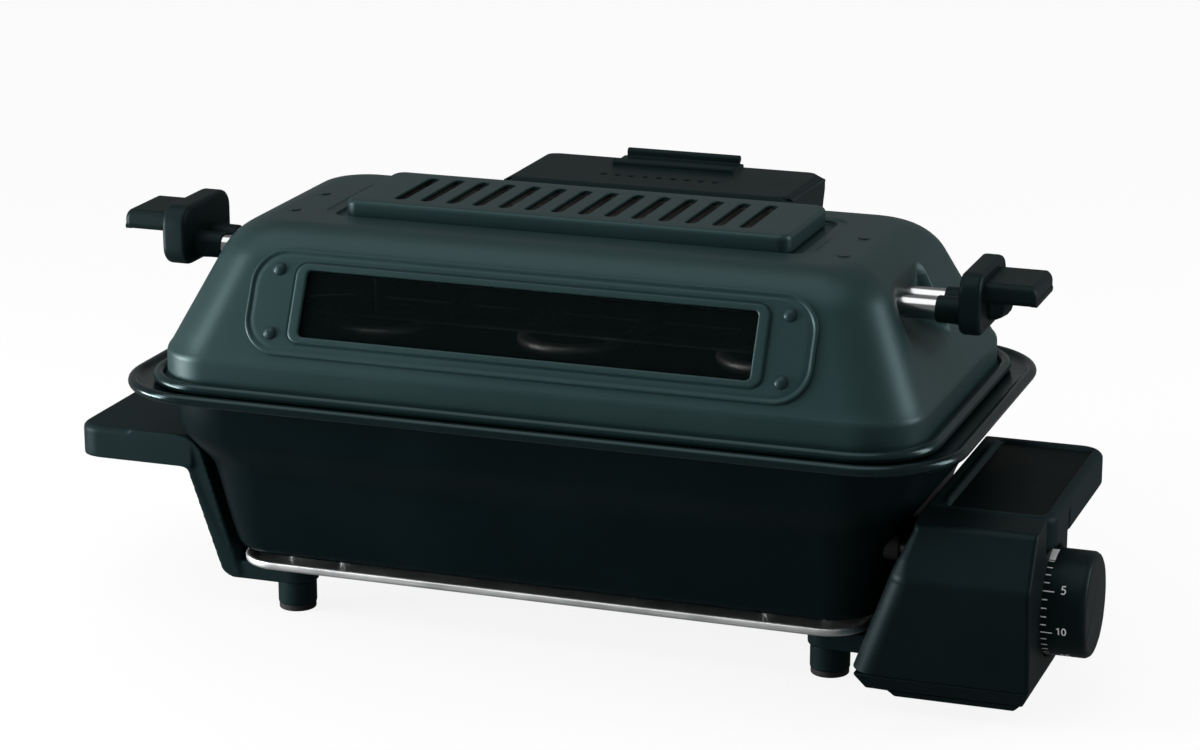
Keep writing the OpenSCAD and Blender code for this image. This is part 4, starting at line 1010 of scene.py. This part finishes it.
for side, name in ((-1, "left_lid_handle"), (1, "right_lid_handle")):
    out_x = grip_out_x + (2.5 if side < 0 else 0.5)
    end_x = tip_x + (2.3 if side < 0 else 0)
    # place along X, and how far the outline is drawn in there
    plate_form = [(grip_in_x + 0.1, 3), (grip_in_x, 2.2), (grip_in_x + 0.3, 1.1),
                  (grip_in_x + 1, 0.35), (grip_in_x + 2.2, 0), (out_x - 2.4, 0),
                  (out_x - 1.1, 0.35), (out_x - 0.3, 1.1), (out_x, 2.2), (out_x, 3),
                  (out_x - 0.35, 3.5), (out_x - 0.5, 4.2), (out_x - 0.5, 7)]
    plate_rings = [upright(x, plate_half[0] - i, plate_half[1] - i, plate_r - min(i, 6), plate_z, side)
                   for x, i in plate_form]
    paddle_form = [(out_x - 1, 0), (end_x - 3.2, 0), (end_x - 2.4, 0.3), (end_x - 1.2, 1.4),
                   (end_x - 0.6, 2.4), (end_x - 0.4, 3)]
    paddle_rings = [upright(x, paddle_half[0] - i * 0.5, paddle_half[1] - i * 0.55,
                            paddle_r - i * 0.3, paddle_z - i * 0.35, side) for x, i in paddle_form]
    lip_rings = [upright(x, lip_half[0], lip_half[1], lip_r, lip_z, side, 5)
                 for x in (end_x - 3, end_x - 0.6, end_x - 0.15)]
    rib_rings = []
    for z, radius in rib_form:
        points = []
        for k in range(49):
            a = math.pi * (k / 48 - 0.5)
            r = radius + flute_depth * max(0, math.cos(a * 9)) * min(1, radius / 6)
            points.append(at(side * (out_x - 1 + r * math.cos(a)), grip_middle_y + r * math.sin(a), z))
        rib_rings.append(points)
    handle_shells = [loft("handle_shell", rings, True, True)
                     for rings in (plate_rings, paddle_rings, lip_rings, rib_rings)]
    sleeve_form = [(5.5, 184), (5.5, 182.7), (6, 182.5), (6.4, 183), (6.5, 190),
                   (6.9, grip_in_x + 0.5)]
    for y in (rod_y - rod_apart / 2, rod_y + rod_apart / 2):
        rings = [[at(side * x, y + r * math.cos(a), rod_z + r * math.sin(a)) for a in round_steps]
                 for r, x in sleeve_form]
        handle_shells.append(loft("sleeve", rings, False, True))
    handle_piece = piece_of(name + "_moulding", joined(name, handle_shells), handle_resin,
                            "lid", "handle_resin", name)
    shade_evenly(handle_piece, 50)

# --------------------------------------------------------------------
# Rear grip: a moulded resin bridge screwed to the back of the lid, with the hinge's eyes in its
# cheeks. A cap of the same kind of resin covers the upper heater's ends.
grip_resin = resin("grip_resin", (0.004, 0.0085, 0.009), 0.0003, 0.46, 0.08)
moulded("rear_grip", grip_resin, "lid", "grip_resin", 0.0006)
moulded("terminal_cover", handle_resin, "lid", "handle_resin", 0.001)

# --------------------------------------------------------------------
# Steam vent: a pressed steel cover with a row of long slots, painted like the lid. It lifts off
# with the steel cage under it, which holds the catalyst, a ceramic comb painted near black:
# painted shade seen down the slots.
vent_half_w = 113
vent_half_d = 34
vent_corner_r = 6.5
vent_top_z = 210.2
slot_count = 14
slot_pitch = 13.54
slot_half = (3, 24.25)
# inset and height from the foot up the outside, and from under the top down the inside
vent_outside = [(0.8, 201.4), (0.2, 201.5), (0, 202), (0, 207.6), (0.15, 208.5), (0.6, 209.35),
                (1.3, 209.9), (2.2, vent_top_z)]
vent_inside = [(2.2, 208), (2.2, 201.8), (1.7, 201.4)]
# how much wider a slot is at each height, from its rounded edge down
slot_form = [(0.4, vent_top_z), (0.12, 210.1), (0, 209.85), (0, 208)]


def filled(bm, loops):
    """Fills the flat space between an outer loop and the holes in it."""
    edges_of_loops = []
    for loop in loops:
        for first, second in zip(loop, loop[1:] + loop[:1]):
            edges_of_loops.append(bm.edges.get((first, second)) or bm.edges.new((first, second)))
    bmesh.ops.triangle_fill(bm, use_beauty=True, edges=edges_of_loops)


def strip(bm, loops):
    """Bands of faces from loop to loop."""
    for first, second in zip(loops, loops[1:]):
        for k in range(len(first)):
            n = (k + 1) % len(first)
            bm.faces.new((first[k], first[n], second[n], second[k]))


def vent_loops(bm, rows):
    """Level loops round the vent cover."""
    loops = []
    for inset, z in rows:
        points = ring(vent_half_w - inset, vent_half_d - inset, vent_corner_r - min(inset, 5), z,
                      10, vent_y)
        loops.append([bm.verts.new(q) for q in points])
    return loops


bm = bmesh.new()
outer_loops = vent_loops(bm, vent_outside)
inner_loops = vent_loops(bm, vent_inside)
strip(bm, outer_loops)
strip(bm, inner_loops)
strip(bm, [inner_loops[-1], outer_loops[0]])
top_holes = []
under_holes = []
for k in range(slot_count):
    slot_x = (k - (slot_count - 1) / 2) * slot_pitch
    slot_loops = []
    for grow, z in slot_form:
        half_w, half_d = slot_half[0] + grow, slot_half[1] + grow
        flat = rounded_rectangle(half_w, half_d, half_w - 0.02, 6)
        slot_loops.append([bm.verts.new(at(slot_x + x, vent_y + y, z)) for x, y in flat])
    strip(bm, slot_loops)
    top_holes.append(slot_loops[0])
    under_holes.append(slot_loops[-1])
filled(bm, [outer_loops[-1]] + top_holes)
filled(bm, [inner_loops[0]] + under_holes)
bmesh.ops.recalc_face_normals(bm, faces=bm.faces)
vent_mesh = bpy.data.meshes.new("vent_cover")
bm.to_mesh(vent_mesh)
bm.free()
vent_piece = piece_of("vent_cover_pressing", vent_mesh, lid_paint, "vent", "lid_paint", "vent_cover")
shade_evenly(vent_piece)
# near black: painted shade under the vent's slots
filter_ceramic = ceramic("filter_ceramic", rgb(0.008, 0.0075, 0.007), rgb(0.02, 0.018, 0.016),
                         0.0012)
dress(filter_ceramic, "catalyst_filter")
